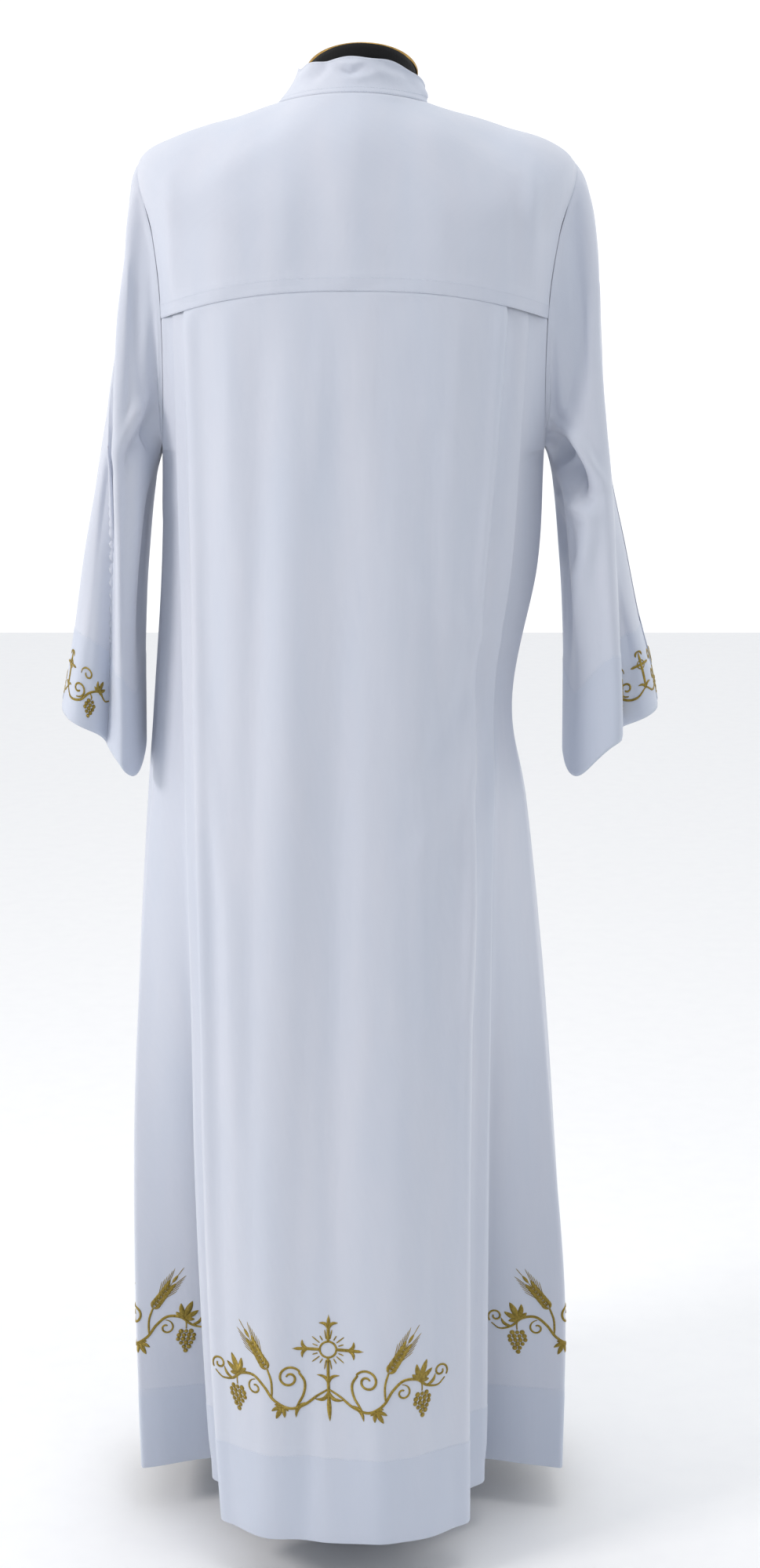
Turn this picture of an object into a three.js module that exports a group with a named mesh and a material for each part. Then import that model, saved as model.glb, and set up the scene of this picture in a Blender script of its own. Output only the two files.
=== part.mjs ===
// An alb, the full-length white vestment, hanging on a limbless dress form.
// Millimetres, +Z up. The wearer's front faces -Y, the wearer's left is +X.
// The origin is the centre of the stand's underside.
import * as THREE from "three";

// ---------------------------------------------------------------- sizes
const CLOTH = 1.2; // wall of every cloth piece
const SEAM = 0.3; // clearance between two sewn pieces
const HEM_DEPTH = 95; // turned-up hem of the skirt
const PLACKET = { width: 32, lift: 0.4, fromRow: 6 };
// lean: how far the top draws in, drift: how far it leans to the right, rises: where its rows lie.
const COLLAR = { height: 33, lean: 12, leanFront: 18, lift: 0.4, frontGap: 1.2, drift: -9 };
const COLLAR_RISES = [0, 0.33, 0.67, 1];
const PLATE = { radius: 118, thick: 16, rim: 0.4, bevel: 14, bevelTop: 0.7, boss: 30, sides: 40 };
const POLE = { radius: 12.5, sides: 20 };
const NECK = { radius: 54, side: -9, backTop: 1572, slope: 0.5, flare: 0.16, intoCollar: 3 };
const CAP = { thick: 6, over: 1.2, edge: 1, crown: 1.5, round: 2.5, clear: 0.4 };
const FORM_CLEAR = 2.6; // from the cloth's outer face to the form at the shoulders
const BLADES = { side: 0.93, deep: 0.96, lower: 4 }; // the form inside the cloth at the shoulder blades

// Level rows of the body, from the hem up to the neckline. half: side to side, back and front: depth from
// the axis, square: exponent of the outline, dip: how far the row sinks at its four quarters.
const rowNames = ["hem", "shin", "knee", "thigh", "hip", "waist", "rib", "underarm", "yoke", "blade",
  "shoulder", "collarbone", "neck"];
const body = {
  zBack: [55, 240, 440, 620, 800, 920, 1060, 1180, 1342, 1392, 1436, 1488, 1530],
  zSide: [55, 245, 440, 620, 800, 920, 1060, 1180, 1310, 1398, 1470, 1501, 1523],
  zFront: [55, 245, 440, 620, 800, 920, 1060, 1176, 1300, 1350, 1396, 1440, 1478],
  halfLeft: [240, 243, 241, 233, 221, 211, 200, 196, 200, 206, 213, 146, 75],
  halfRight: [231, 231, 216, 201, 184, 166, 191, 196, 203, 212, 221, 150, 75],
  back: [216, 202, 187, 173, 159, 151, 139, 130, 121, 118, 113, 100, 71],
  front: [195, 188, 179, 170, 160, 154, 145, 138, 130, 125, 116, 100, 82],
  square: [2.8, 2.8, 2.7, 2.6, 2.5, 2.5, 2.5, 2.5, 2.5, 2.4, 2.2, 2, 2],
  dip: [0, 0, 0, 0, 0, 0, 0, 0, 0, 5, 18, 10, 0],
};
const ROW = Object.fromEntries(rowNames.map((name, i) => [name, i]));

// The two knife pleats at each side of the back, row by row from the hem to the yoke. firstX and secondX: the
// pleats' folded edges, over and under: the room inside a pleat's outer and inner turn, tuck: the underlay,
// inset: how far the second edge lies inside the body's outline, last: the inner turn of the second pleat.
const pleats = {
  firstXLeft: [143, 152, 156, 157, 159, 160, 161, 164, 167],
  firstXRight: [124, 121, 121, 122, 122, 123, 132, 142, 152],
  secondXLeft: [162, 165, 168, 170, 173, 174, 176, 178, 179],
  secondXRight: [145, 143, 143, 144, 144, 143, 160, 167, 174],
  firstInset: [40, 34, 26, 18, 12, 9, 6, 4, 0],
  secondInset: [112, 92, 70, 48, 30, 22, 14, 10, 6],
  over: [24, 20, 15, 11, 8, 6.4, 5, 4.2, 3.8],
  under: [30, 24, 16, 10, 6, 4, 2.5, 1.4, 0.9],
  last: [48, 40, 28, 16, 9, 6, 3.5, 1.6, 0.9],
  tuck: [16, 16, 16, 16, 15, 15, 14, 13, 12],
  belly: [16, 13, 10, 6, 3, 2, 1, 0.5, 0],
};

// Soft vertical folds of the skirt. at: degrees round from centre back, turn: how far the fold drifts from
// top to hem, wide: half its width, deep: depth at the hem (a ridge is positive), from: where it begins.
const folds = [
  { at: -9, turn: -3, wide: 7, deep: -9, from: 7.6 },
  { at: 4, turn: 5, wide: 8, deep: -11, from: 7.8 },
  { at: 22, turn: 1, wide: 7, deep: 7, from: 6.5 },
  { at: -24, turn: 2, wide: 6, deep: 6, from: 5.5 },
  { at: 104, turn: 4, wide: 9, deep: 12, from: 6.8 },
  { at: 124, turn: -2, wide: 8, deep: -14, from: 6.2 },
  { at: 141, turn: 3, wide: 9, deep: 13, from: 7 },
  { at: 160, turn: -3, wide: 8, deep: -12, from: 5.8 },
  { at: -102, turn: -5, wide: 8, deep: -10, from: 5.6 },
  { at: -118, turn: 2, wide: 9, deep: 14, from: 6.6 },
  { at: -138, turn: -2, wide: 8, deep: -13, from: 6.9 },
  { at: -156, turn: 3, wide: 9, deep: 12, from: 6.1 },
];

const FOLD_TOP = 0.75; // width of a fold where it begins, against its width at the hem

// Armhole: an opening in the side of the body between the underarm and the shoulder rows. half and forward
// are degrees, ease: how much rounder than a circle it opens.
const ARMHOLE = { half: 21, forward: 7, ease: 1.1, steps: 13 };

// A pleat's turns: edge: degrees from the flat centre to the folded edge, corner: the largest share of a
// side that a corner may round, clear and past: the way round the second pleat's inner turn.
const TURN = { edge: 6, corner: 0.4, clear: 0.4, past: 2, bend: 3, belly: 30, nearSeam: 4, points: 2 };
const NEAR_SEAM = { atHem: 8, atYoke: 2 }; // degrees from the side seam to the last corner
const BACK_BEND = { from: 0.45, exponent: 1.5 }; // where the centre panel begins to bend inwards

// Sleeve stations from the armhole to the cuff. overX, overZ: the line down the outside of the arm, underX,
// underZ: the underarm line, back and front: depth either side, drop: how much lower the back hangs,
// ridge: where the long fold's sharp edge runs, in degrees, groove and pinch: depth of the folds at its two
// sides, forward: how far the sleeve's head sits towards the front.
const sleeve = {
  overLeft: [213, 225, 232, 241, 252, 263, 275, 286, 297, 307],
  overRight: [221, 237, 247, 251, 258, 269, 285, 299, 313, 321],
  overZ: [1470, 1452, 1385, 1310, 1235, 1160, 1080, 1010, 955, 912],
  underX: [200, 204, 207, 210, 213, 216, 218, 220, 221, 222],
  underZ: [1180, 1160, 1133, 1104, 1070, 1035, 998, 958, 914, 872],
  forward: [17, 15, 11, 7, 4, 2, 0, 0, 0, 0],
  back: [48, 58, 66, 71, 73, 74, 75, 76, 77, 78],
  front: [48, 56, 62, 66, 68, 69, 71, 73, 75, 77],
  drop: [0, 3, 6, 10, 14, 18, 22, 26, 29, 31],
  ridgeLeft: [44, 44, 44, 52, 74, 92, 103, 111, 117, 120],
  ridgeRight: [44, 44, 44, 44, 44, 48, 62, 74, 83, 88],
  grooveLeft: [0, 0, 0.04, 0.14, 0.28, 0.4, 0.48, 0.52, 0.54, 0.54],
  grooveRight: [0, 0, 0, 0.08, 0.2, 0.33, 0.44, 0.5, 0.53, 0.54],
  pinch: [0, 0.02, 0.14, 0.32, 0.42, 0.4, 0.28, 0.12, 0.04, 0],
};
const GROOVE = { fromRidge: 15, inner: 12, outer: 38 };
const PINCH = { at: 168, wide: 22 };
const DROP = { at: 145, wide: 42, riseAt: 290, riseWide: 60, rise: 0.6 };
const SLEEVE_ROWS = 14;
const SLEEVE_HEAD = { inside: 0.004, away: 0.45, opensBy: 1.6 }; // how the head leaves the armhole's edge
const SLEEVE_ROUND = 0.9; // exponent of the sleeve's section

// The dress form below the shoulders, round: exponent of its section.
const form = {
  z: [935, 1000, 1065, 1130, 1210, 1290],
  half: [148, 158, 148, 138, 152, 170],
  back: [102, 112, 102, 92, 103, 112],
  front: [94, 102, 95, 90, 106, 116],
  round: 0.9,
  shoulderRows: [9.6, 10, 10.35, 10.7, 11.1, 11.5],
  moreClear: [1.5, 0, 0, 0, 0, 1],
  neckRises: [0, 0.35, 0.7, 1],
};

// ---------------------------------------------------------------- small tools
const rad = THREE.MathUtils.degToRad;
const V = (x, y, z) => new THREE.Vector3(x, y, z);
const mix = (a, b, t) => a + (b - a) * t;
const clamp = THREE.MathUtils.clamp;
const smooth = (t) => THREE.MathUtils.smoothstep(t, 0, 1);
const power = (value, exponent) => Math.sign(value) * Math.abs(value) ** exponent;
const range = (n) => Array.from({ length: n }, (_, i) => i);
const bump = (t) => Math.exp(-t * t);

// A column read between its rows, on a smooth curve through them.
function read(column, at) {
  const last = column.length - 1;
  const t = clamp(at, 0, last);
  const i = Math.min(last - 1, Math.floor(t));
  const u = t - i;
  const [a, b] = [column[i], column[i + 1]];
  const slope = (k) => {
    const rise = column[Math.min(last, k + 1)] - column[Math.max(0, k - 1)];
    return k <= 0 || k >= last ? rise : rise / 2;
  };
  const [m, n, rise] = [slope(i), slope(i + 1), b - a];
  return a + u * m + u ** 2 * (3 * rise - 2 * m - n) + u ** 3 * (m + n - 2 * rise);
}

// ---------------------------------------------------------------- the body's surface
// Depth of the soft folds at an angle and a row, outwards.
function foldDepth(angle, row) {
  return folds.reduce((sum, f) => {
    const down = smooth((f.from - row) / f.from);
    const offset = (angle - f.at - f.turn * down) / (f.wide * mix(FOLD_TOP, 1, down));
    return sum + f.deep * down * bump(offset);
  }, 0);
}

// A point of the body: angle 0 is centre back, 90 the wearer's left side, 180 centre front.
function bodyPoint(angle, row) {
  const a = rad(angle);
  const half = read(angle > 0 ? body.halfLeft : body.halfRight, row);
  const isBack = Math.cos(a) > 0;
  const deep = read(isBack ? body.back : body.front, row);
  const e = 2 / read(body.square, row);
  const zEnd = read(isBack ? body.zBack : body.zFront, row);
  const zSide = read(body.zSide, row);
  const x = half * power(Math.sin(a), e);
  const y = deep * power(Math.cos(a), e);
  const z = mix(zSide, zEnd, Math.cos(a) ** 2) - read(body.dip, row) * Math.sin(2 * a) ** 2;
  const out = foldDepth(angle, row) / Math.hypot(x, y);
  return V(x * (1 + out), y * (1 + out), z);
}

// The outward direction of the body's surface.
function bodyNormal(angle, row) {
  const [aside, rise] = [0.5, 0.04];
  const across = bodyPoint(angle + aside, row).sub(bodyPoint(angle - aside, row));
  const above = bodyPoint(angle, Math.min(ROW.neck, row + rise));
  return above.sub(bodyPoint(angle, Math.max(0, row - rise))).cross(across).normalize();
}

// Half of the armhole's opening at a row, and the angle of its middle.
const armShare = (row) => (row - ROW.underarm) / (ROW.shoulder - ROW.underarm);
function armHalf(row) {
  const share = armShare(row);
  return share <= 0 || share >= 1 ? 0 : ARMHOLE.half * (2 * Math.sqrt(share * (1 - share))) ** ARMHOLE.ease;
}
const armMiddle = (row) => 90 + ARMHOLE.forward * smooth(armShare(row));
// Rows that the panels and the sleeve share along the armhole; one of them is the yoke seam.
const armRows = range(ARMHOLE.steps + 1).map((i) => {
  const share = (1 - Math.cos((Math.PI * i) / ARMHOLE.steps)) / 2;
  return mix(ROW.underarm, ROW.shoulder, share);
});
const fromYoke = armRows.map((row) => Math.abs(row - ROW.yoke));
const yokeStep = fromYoke.indexOf(Math.min(...fromYoke));
armRows[yokeStep] = ROW.yoke;

// ---------------------------------------------------------------- the pleated back
// Turns the corners of a path into short curves. corners: [point, radius].
function rounded(corners, perCorner) {
  const out = [corners[0][0]];
  corners.slice(1, -1).forEach(([p, radius], k) => {
    const before = corners[k][0];
    const after = corners[k + 2][0];
    const cut = (q) => p.clone().lerp(q, Math.min(TURN.corner, radius / p.distanceTo(q)));
    const [start, end] = [cut(before), cut(after)];
    range(perCorner + 1).forEach((i) => {
      const t = i / perCorner;
      out.push(start.clone().lerp(p, t).lerp(p.clone().lerp(end, t), t));
    });
  });
  out.push(corners.at(-1)[0]);
  return out;
}

// The angle at which the body's outline reaches a distance to the side.
function angleAt(side, x, row) {
  const half = read(side > 0 ? body.halfLeft : body.halfRight, row);
  return side * THREE.MathUtils.radToDeg(Math.asin((x / half) ** (read(body.square, row) / 2)));
}

// The centre panel bends inwards towards the first pleats' edges.
function backPoint(angle, row) {
  const p = bodyPoint(angle, row);
  const reach = read(p.x > 0 ? pleats.firstXLeft : pleats.firstXRight, row);
  const near = Math.min(1, Math.abs(p.x) / reach);
  const bend = smooth((near - BACK_BEND.from) / (1 - BACK_BEND.from));
  p.y -= read(pleats.firstInset, row) * bend ** BACK_BEND.exponent;
  return p;
}

const inward = (along, side) => V(along.y, -along.x, 0).multiplyScalar(side);

// From the first pleat's edge to the side seam or armhole, at one side (+1 left, -1 right) of the back.
function pleatPath(side, row) {
  const name = side > 0 ? "Left" : "Right";
  const [over, under, last, tuck] = ["over", "under", "last", "tuck"].map((c) => read(pleats[c], row));
  const firstAngle = angleAt(side, read(pleats["firstX" + name], row), row);
  const flat = (p) => V(p.x, p.y, 0);
  const edge = flat(backPoint(firstAngle, row));
  const before = flat(backPoint(firstAngle - side * TURN.edge, row));
  const along = edge.clone().sub(before).normalize();
  const into = inward(along, side);
  const turn = edge.clone().addScaledVector(into, over);
  const heel = turn.clone().addScaledVector(along, -tuck);
  const heelIn = heel.clone().addScaledVector(into, under);
  const secondAngle = angleAt(side, read(pleats["secondX" + name], row), row);
  const second = flat(bodyPoint(secondAngle, row));
  second.y -= read(pleats.secondInset, row);
  const along2 = second.clone().sub(heelIn).normalize();
  const into2 = inward(along2, side);
  const turn2 = second.clone().addScaledVector(into2, over);
  const heel2 = turn2.clone().addScaledVector(along2, -tuck);
  const heelIn2 = heel2.clone().addScaledVector(into2, last);
  const seamAngle = side * (armMiddle(row) - armHalf(row));
  const seam = flat(bodyPoint(seamAngle, row));
  const nearAngle = mix(NEAR_SEAM.atHem, NEAR_SEAM.atYoke, row / ROW.yoke);
  const nearSeam = flat(bodyPoint(seamAngle - side * nearAngle, row));
  const clear = second.clone().addScaledVector(into2, over + last + TURN.clear);
  clear.addScaledVector(along2, TURN.past);
  const belly = clear.clone().lerp(nearSeam, 0.5);
  belly.addScaledVector(nearSeam.clone().normalize(), read(pleats.belly, row));
  return rounded([
    [before, 0], [edge, over / 2], [turn, over / 2], [heel, under / 2], [heelIn, under / 2],
    [second, over / 2], [turn2, over / 2], [heel2, last / 2], [heelIn2, last / 2],
    [clear, TURN.bend], [belly, TURN.belly], [nearSeam, TURN.nearSeam], [seam, 0],
  ], TURN.points).slice(1);
}

// How high a row lies at a point of the back.
function backLevel(p, row) {
  const half = read(p.x > 0 ? body.halfLeft : body.halfRight, row);
  const out = Math.min(1, Math.abs(p.x) / half) ** read(body.square, row);
  return mix(read(body.zBack, row), read(body.zSide, row), out);
}

// One level of the back panel, from the right seam to the left seam.
function backRing(row, centreCols) {
  const right = pleatPath(-1, row);
  const left = pleatPath(1, row);
  const first = angleAt(-1, read(pleats.firstXRight, row), row);
  const lastAngle = angleAt(1, read(pleats.firstXLeft, row), row);
  const middle = range(centreCols + 1).map((i) =>
    backPoint(mix(first + TURN.edge, lastAngle - TURN.edge, i / centreCols), row));
  return [...right.reverse(), ...middle, ...left].map((p) => V(p.x, p.y, backLevel(p, row)));
}

// ---------------------------------------------------------------- walls
function meshed(points, faces) {
  const geometry = new THREE.BufferGeometry();
  geometry.setFromPoints(points);
  geometry.setIndex(faces);
  geometry.computeVertexNormals();
  return geometry;
}

// A wall of cloth from a grid of points on its outer face. grid[row][column]; a ring grid closes on itself.
// outwards: -1 where the columns run anticlockwise, normalAt: the outward direction where it is known,
// levelRow: the row whose edge is cut level, at the height levelZ gives.
function wall(grid, options = {}) {
  const { ring = false, thick = CLOTH, outwards = 1, normalAt = () => null } = options;
  const { levelRow = -1, levelZ = null } = options;
  const [rows, cols] = [grid.length, grid[0].length];
  const column = (c) => (ring ? (c + cols) % cols : clamp(c, 0, cols - 1));
  const at = (r, c) => grid[clamp(r, 0, rows - 1)][column(c)];
  const inner = grid.map((line, r) => line.map((p, c) => {
    const across = at(r, c + 1).clone().sub(at(r, c - 1));
    const up = at(r + 1, c).clone().sub(at(r - 1, c));
    const out = normalAt(r, c, cols) ?? up.cross(across).normalize().multiplyScalar(outwards);
    if (r !== levelRow) return p.clone().addScaledVector(out, -thick);
    const q = p.clone().addScaledVector(out.setZ(0).normalize(), -thick);
    if (levelZ) q.z = levelZ(q);
    return q;
  }));
  const points = [...grid.flat(), ...inner.flat()];
  const id = (layer, r, c) => layer * rows * cols + r * cols + (c % cols);
  const faces = [];
  const quad = (a, b, c, d) => {
    faces.push(...(outwards > 0 ? [a, c, b, a, d, c] : [a, b, c, a, c, d]));
  };
  const spans = ring ? cols : cols - 1;
  for (let r = 0; r < rows - 1; r++)
    for (let c = 0; c < spans; c++) {
      quad(id(0, r, c), id(0, r, c + 1), id(0, r + 1, c + 1), id(0, r + 1, c));
      quad(id(1, r, c), id(1, r + 1, c), id(1, r + 1, c + 1), id(1, r, c + 1));
    }
  for (let c = 0; c < spans; c++) {
    quad(id(0, 0, c), id(1, 0, c), id(1, 0, c + 1), id(0, 0, c + 1));
    quad(id(0, rows - 1, c), id(0, rows - 1, c + 1), id(1, rows - 1, c + 1), id(1, rows - 1, c));
  }
  if (!ring)
    for (let r = 0; r < rows - 1; r++) {
      quad(id(0, r, 0), id(0, r + 1, 0), id(1, r + 1, 0), id(1, r, 0));
      quad(id(0, r, cols - 1), id(1, r, cols - 1), id(1, r + 1, cols - 1), id(0, r + 1, cols - 1));
    }
  return meshed(points, faces);
}

// A solid from closed rings, with a flat fan at each end. The rings run anticlockwise seen from above.
function loft(rings) {
  const cols = rings[0].length;
  const middle = (ring) => ring.reduce((sum, p) => sum.add(p), V(0, 0, 0)).divideScalar(cols);
  const points = [...rings.flat(), middle(rings[0]), middle(rings.at(-1))];
  const faces = [];
  for (let r = 0; r < rings.length - 1; r++)
    for (let c = 0; c < cols; c++) {
      const [a, b] = [r * cols + c, r * cols + ((c + 1) % cols)];
      faces.push(a, b, b + cols, a, b + cols, a + cols);
    }
  const [bottom, top, lastRing] = [points.length - 2, points.length - 1, (rings.length - 1) * cols];
  for (let c = 0; c < cols; c++) {
    faces.push(bottom, (c + 1) % cols, c, top, lastRing + c, lastRing + ((c + 1) % cols));
  }
  return meshed(points, faces);
}

// Draws the ends of each line of a grid in by half a seam.
function trimEnds(line, gap = SEAM / 2) {
  const n = line.length - 1;
  const draw = (i, j) => {
    line[i].add(line[j].clone().sub(line[i]).setLength(gap));
  };
  draw(0, 1);
  draw(n, n - 1);
  return line;
}

// Lowers or raises a whole line.
function shift(line, dz) {
  line.forEach((p) => {
    p.z += dz;
  });
}

// ---------------------------------------------------------------- cloth pieces
const YOKE_COLS = 26;
const FRONT_COLS = 11;
const CENTRE_COLS = 10;
const hemRow = HEM_DEPTH / (body.zBack[1] - body.zBack[0]);
const lowerRows = [0, hemRow, 1, 1.6, 2.2, 2.8, 3.4, 4, 4.6, 5.2, 5.8, 6.4];
const shoulderRows = [0.35, 0.7, 1.1, 1.55, 2].map((up) => ROW.shoulder + up);
const frontRows = [...lowerRows, ...armRows, ...shoulderRows];

function backPanel() {
  const rows = [...lowerRows, ...armRows.slice(0, yokeStep + 1)];
  const grid = rows.map((row) => trimEnds(backRing(row, CENTRE_COLS)));
  shift(grid.at(-1), -SEAM / 2);
  const seamAngle = (row) => armMiddle(row) - armHalf(row);
  const normalAt = (r, c, cols) => {
    if (c > 0 && c < cols - 1) return null;
    return bodyNormal((c === 0 ? -1 : 1) * seamAngle(rows[r]), rows[r]);
  };
  const levelZ = (p) => backLevel(p, ROW.yoke) - SEAM / 2;
  return wall(grid, { normalAt, levelRow: rows.length - 1, levelZ });
}

function backYoke() {
  const rows = [...armRows.slice(yokeStep), ...shoulderRows];
  const grid = rows.map((row) => {
    const reach = armMiddle(row) - armHalf(row);
    return trimEnds(range(YOKE_COLS + 1).map((i) => bodyPoint(mix(-reach, reach, i / YOKE_COLS), row)));
  });
  shift(grid[0], SEAM / 2);
  const normalAt = (r, c) => {
    const reach = armMiddle(rows[r]) - armHalf(rows[r]);
    return bodyNormal(mix(-reach, reach, c / YOKE_COLS), rows[r]);
  };
  return wall(grid, { normalAt, levelRow: 0, levelZ: (p) => backLevel(p, ROW.yoke) + SEAM / 2 });
}

const CENTRE_FRONT = 179.999; // the last angle that still counts as the left side

// The angles of a front panel's columns at a row, from the side seam to the centre.
function frontAngles(row) {
  const edge = 180 - angleAt(1, PLACKET.width / 2, row);
  const reach = armMiddle(row) + armHalf(row);
  const side = range(FRONT_COLS).map((i) => mix(reach, edge, i / FRONT_COLS));
  return [...side, edge, (edge + 180) / 2, CENTRE_FRONT];
}

function frontPanel(side) {
  const grid = frontRows.map((row) =>
    trimEnds(frontAngles(row).map((angle) => bodyPoint(side * angle, row))));
  const normalAt = (r, c) => bodyNormal(side * frontAngles(frontRows[r])[c], frontRows[r]);
  return wall(grid, { outwards: side, normalAt });
}

// The strip that covers the closed front opening, laid on the front panels.
function frontPlacket() {
  const rows = frontRows.filter((row) => row >= PLACKET.fromRow);
  const out = CLOTH + PLACKET.lift;
  const half = rows.map((row) => frontAngles(row).slice(-3, -1));
  const angles = half.map(([edge, mid]) => [edge, mid, 180, 360 - mid, 360 - edge]);
  const grid = rows.map((row, r) => angles[r].map((angle) =>
    bodyPoint(angle, row).addScaledVector(bodyNormal(angle, row), out)));
  return wall(grid, { normalAt: (r, c) => bodyNormal(angles[r][c], rows[r]) });
}

function collarBand() {
  const row = ROW.neck;
  const front = frontAngles(row);
  const reach = front[0];
  const back = range(YOKE_COLS - 1).map((i) => mix(-reach, reach, (i + 1) / YOKE_COLS));
  const open = front.with(-1, 180 - COLLAR.frontGap / 2);
  const angles = [...open.map((a) => -a).reverse(), ...back, ...open];
  const grid = COLLAR_RISES.map((up) => angles.map((angle) => {
    const foot = bodyPoint(angle, row);
    const frontward = smooth((Math.abs(angle) - 90) / 90);
    const lean = mix(COLLAR.lean, COLLAR.leanFront, frontward) * (1 - (1 - up) ** 2);
    const inTo = V(-foot.x, -foot.y, 0).setLength(lean);
    return foot.add(inTo).add(V(COLLAR.drift * up, 0, COLLAR.lift + COLLAR.height * up));
  }));
  return wall(grid, { levelRow: 0 });
}

// One sleeve, from the armhole to the cuff. phi 0 is the outside of the arm, 90 the back, 180 the underarm.
function sleevePoint(side, phi, station, seamPoint) {
  const col = (name) => read(sleeve[name], station);
  const over = V(col(side > 0 ? "overLeft" : "overRight"), 0, col("overZ"));
  const under = V(col("underX"), 0, col("underZ"));
  const a = rad(phi);
  const centre = over.clone().lerp(under, 0.5);
  const isBack = Math.sin(a) > 0;
  const deep = isBack ? col("back") : col("front");
  const name = side > 0 ? "Left" : "Right";
  const past = phi - (col("ridge" + name) - GROOVE.fromRidge);
  const groove = 1 - col("groove" + name) * bump(past / (past > 0 ? GROOVE.inner : GROOVE.outer));
  const pinch = 1 - col("pinch") * bump((phi - PINCH.at) / PINCH.wide);
  const shape = groove * pinch;
  const sink = bump((phi - DROP.at) / DROP.wide) - DROP.rise * bump((phi - DROP.riseAt) / DROP.riseWide);
  const p = centre.clone()
    .addScaledVector(over.clone().sub(centre), power(Math.cos(a), SLEEVE_ROUND) * shape)
    .add(V(0, deep * power(Math.sin(a), SLEEVE_ROUND) * shape - col("forward"), -col("drop") * sink));
  p.x *= side;
  const open = smooth(station / SLEEVE_HEAD.opensBy);
  return seamPoint.clone().lerp(p, open);
}

function sleevePiece(side) {
  // The armhole's edge, from the shoulder down the back to the underarm and up the front.
  const edge = (row, way) => bodyPoint(side * (armMiddle(row) + way * armHalf(row)), row);
  const downTheBack = armRows.toReversed().map((row) => edge(row, -1));
  const upTheFront = armRows.slice(1, -1).map((row) => edge(row, 1));
  const seam = [...downTheBack, ...upTheFront];
  const middle = seam.reduce((s, p) => s.add(p), V(0, 0, 0)).divideScalar(seam.length);
  seam.forEach((p) => {
    p.lerp(middle, SLEEVE_HEAD.inside);
    p.x += side * SLEEVE_HEAD.away;
  });
  const last = sleeve.overZ.length - 1;
  const stations = range(SLEEVE_ROWS + 1).map((i) => (last * i) / SLEEVE_ROWS);
  const grid = stations.map((station) =>
    seam.map((p, i) => sleevePoint(side, (360 * i) / seam.length, station, p)));
  const normalAt = (r, c) => (r === 0 ? seam[c].clone().sub(middle).normalize() : null);
  return wall(grid, { ring: true, outwards: side, normalAt });
}

// ---------------------------------------------------------------- the dress form and its stand
const FORM_COLS = 40;

function formTorso() {
  const ring = (point) => range(FORM_COLS).map((i) => point(180 - (360 * i) / FORM_COLS));
  const lower = form.z.map((z, i) => ring((angle) => {
    const a = rad(angle);
    const deep = Math.cos(a) > 0 ? form.back[i] : form.front[i];
    return V(form.half[i] * power(Math.sin(a), form.round), deep * power(Math.cos(a), form.round), z);
  }));
  const blades = ring((angle) => {
    const p = bodyPoint(angle, ROW.blade);
    return V(p.x * BLADES.side, p.y * BLADES.deep, p.z - BLADES.lower);
  });
  // Under the cloth of the shoulders the form follows it, a little inside.
  const shoulders = form.shoulderRows.map((row, i) => ring((angle) =>
    bodyPoint(angle, row).addScaledVector(bodyNormal(angle, row), -FORM_CLEAR - form.moreClear[i])));
  const neck = form.neckRises.map((up) => ring((angle) => {
    const a = rad(angle);
    const [x, y] = [NECK.radius * Math.sin(a), NECK.radius * Math.cos(a)];
    const top = NECK.backTop - NECK.slope * (NECK.radius - y);
    const foot = bodyPoint(angle, ROW.neck).z - NECK.intoCollar;
    const spread = 1 + NECK.flare * (1 - up) ** 2;
    return V(x * spread + NECK.side * mix(0.5, 1, up), y * spread, mix(foot, top, up));
  }));
  return loft([...lower, blades, ...shoulders, ...neck]);
}

// A turned piece, from [radius, height] points round the Z axis.
function turned(profile, sides) {
  const points = profile.map(([radius, height]) => new THREE.Vector2(radius, height));
  return new THREE.LatheGeometry(points, sides).rotateX(Math.PI / 2);
}

function neckCap() {
  const radius = NECK.radius + CAP.over;
  return turned([
    [0, 0], [radius - CAP.edge, 0], [radius, CAP.edge], [radius, CAP.thick - CAP.round],
    [radius - CAP.round, CAP.thick], [0, CAP.thick + CAP.crown],
  ], FORM_COLS);
}

function standPlate() {
  const { radius, thick, rim, bevel, bevelTop, boss, sides } = PLATE;
  return turned([
    [0, 0], [radius, 0], [radius, thick * rim], [radius - bevel, thick * bevelTop], [boss, thick], [0, thick],
  ], sides);
}

function standPole() {
  const [bottom, top] = [PLATE.thick + SEAM, form.z[0] - SEAM];
  const pole = new THREE.CylinderGeometry(POLE.radius, POLE.radius, top - bottom, POLE.sides);
  return pole.rotateX(Math.PI / 2).translate(0, 0, (top + bottom) / 2);
}

// ---------------------------------------------------------------- the scene graph
const finish = (color, roughness, metalness = 0) =>
  new THREE.MeshStandardMaterial({ color, roughness, metalness });
const whiteCloth = () => finish(0xd9deea, 0.85);
const group = new THREE.Group();
function add(name, geometry, material) {
  const mesh = new THREE.Mesh(geometry, material);
  mesh.name = name;
  group.add(mesh);
  return mesh;
}

add("back_panel", backPanel(), whiteCloth());
add("back_yoke", backYoke(), whiteCloth());
add("front_left", frontPanel(1), whiteCloth());
add("front_right", frontPanel(-1), whiteCloth());
add("front_placket", frontPlacket(), whiteCloth());
add("collar_band", collarBand(), whiteCloth());
add("sleeve_left", sleevePiece(1), whiteCloth());
add("sleeve_right", sleevePiece(-1), whiteCloth());
add("form_torso", formTorso(), finish(0x0b0b0c, 0.9));
const cap = add("neck_cap", neckCap(), finish(0x8a6a3c, 0.4));
cap.rotation.x = Math.atan(NECK.slope);
cap.position.set(NECK.side, 0, NECK.backTop - NECK.slope * NECK.radius + CAP.clear);
add("stand_plate", standPlate(), finish(0x1a1a1c, 0.5, 0.6));
add("stand_pole", standPole(), finish(0x8f9296, 0.35, 0.9));

export default group;
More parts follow.
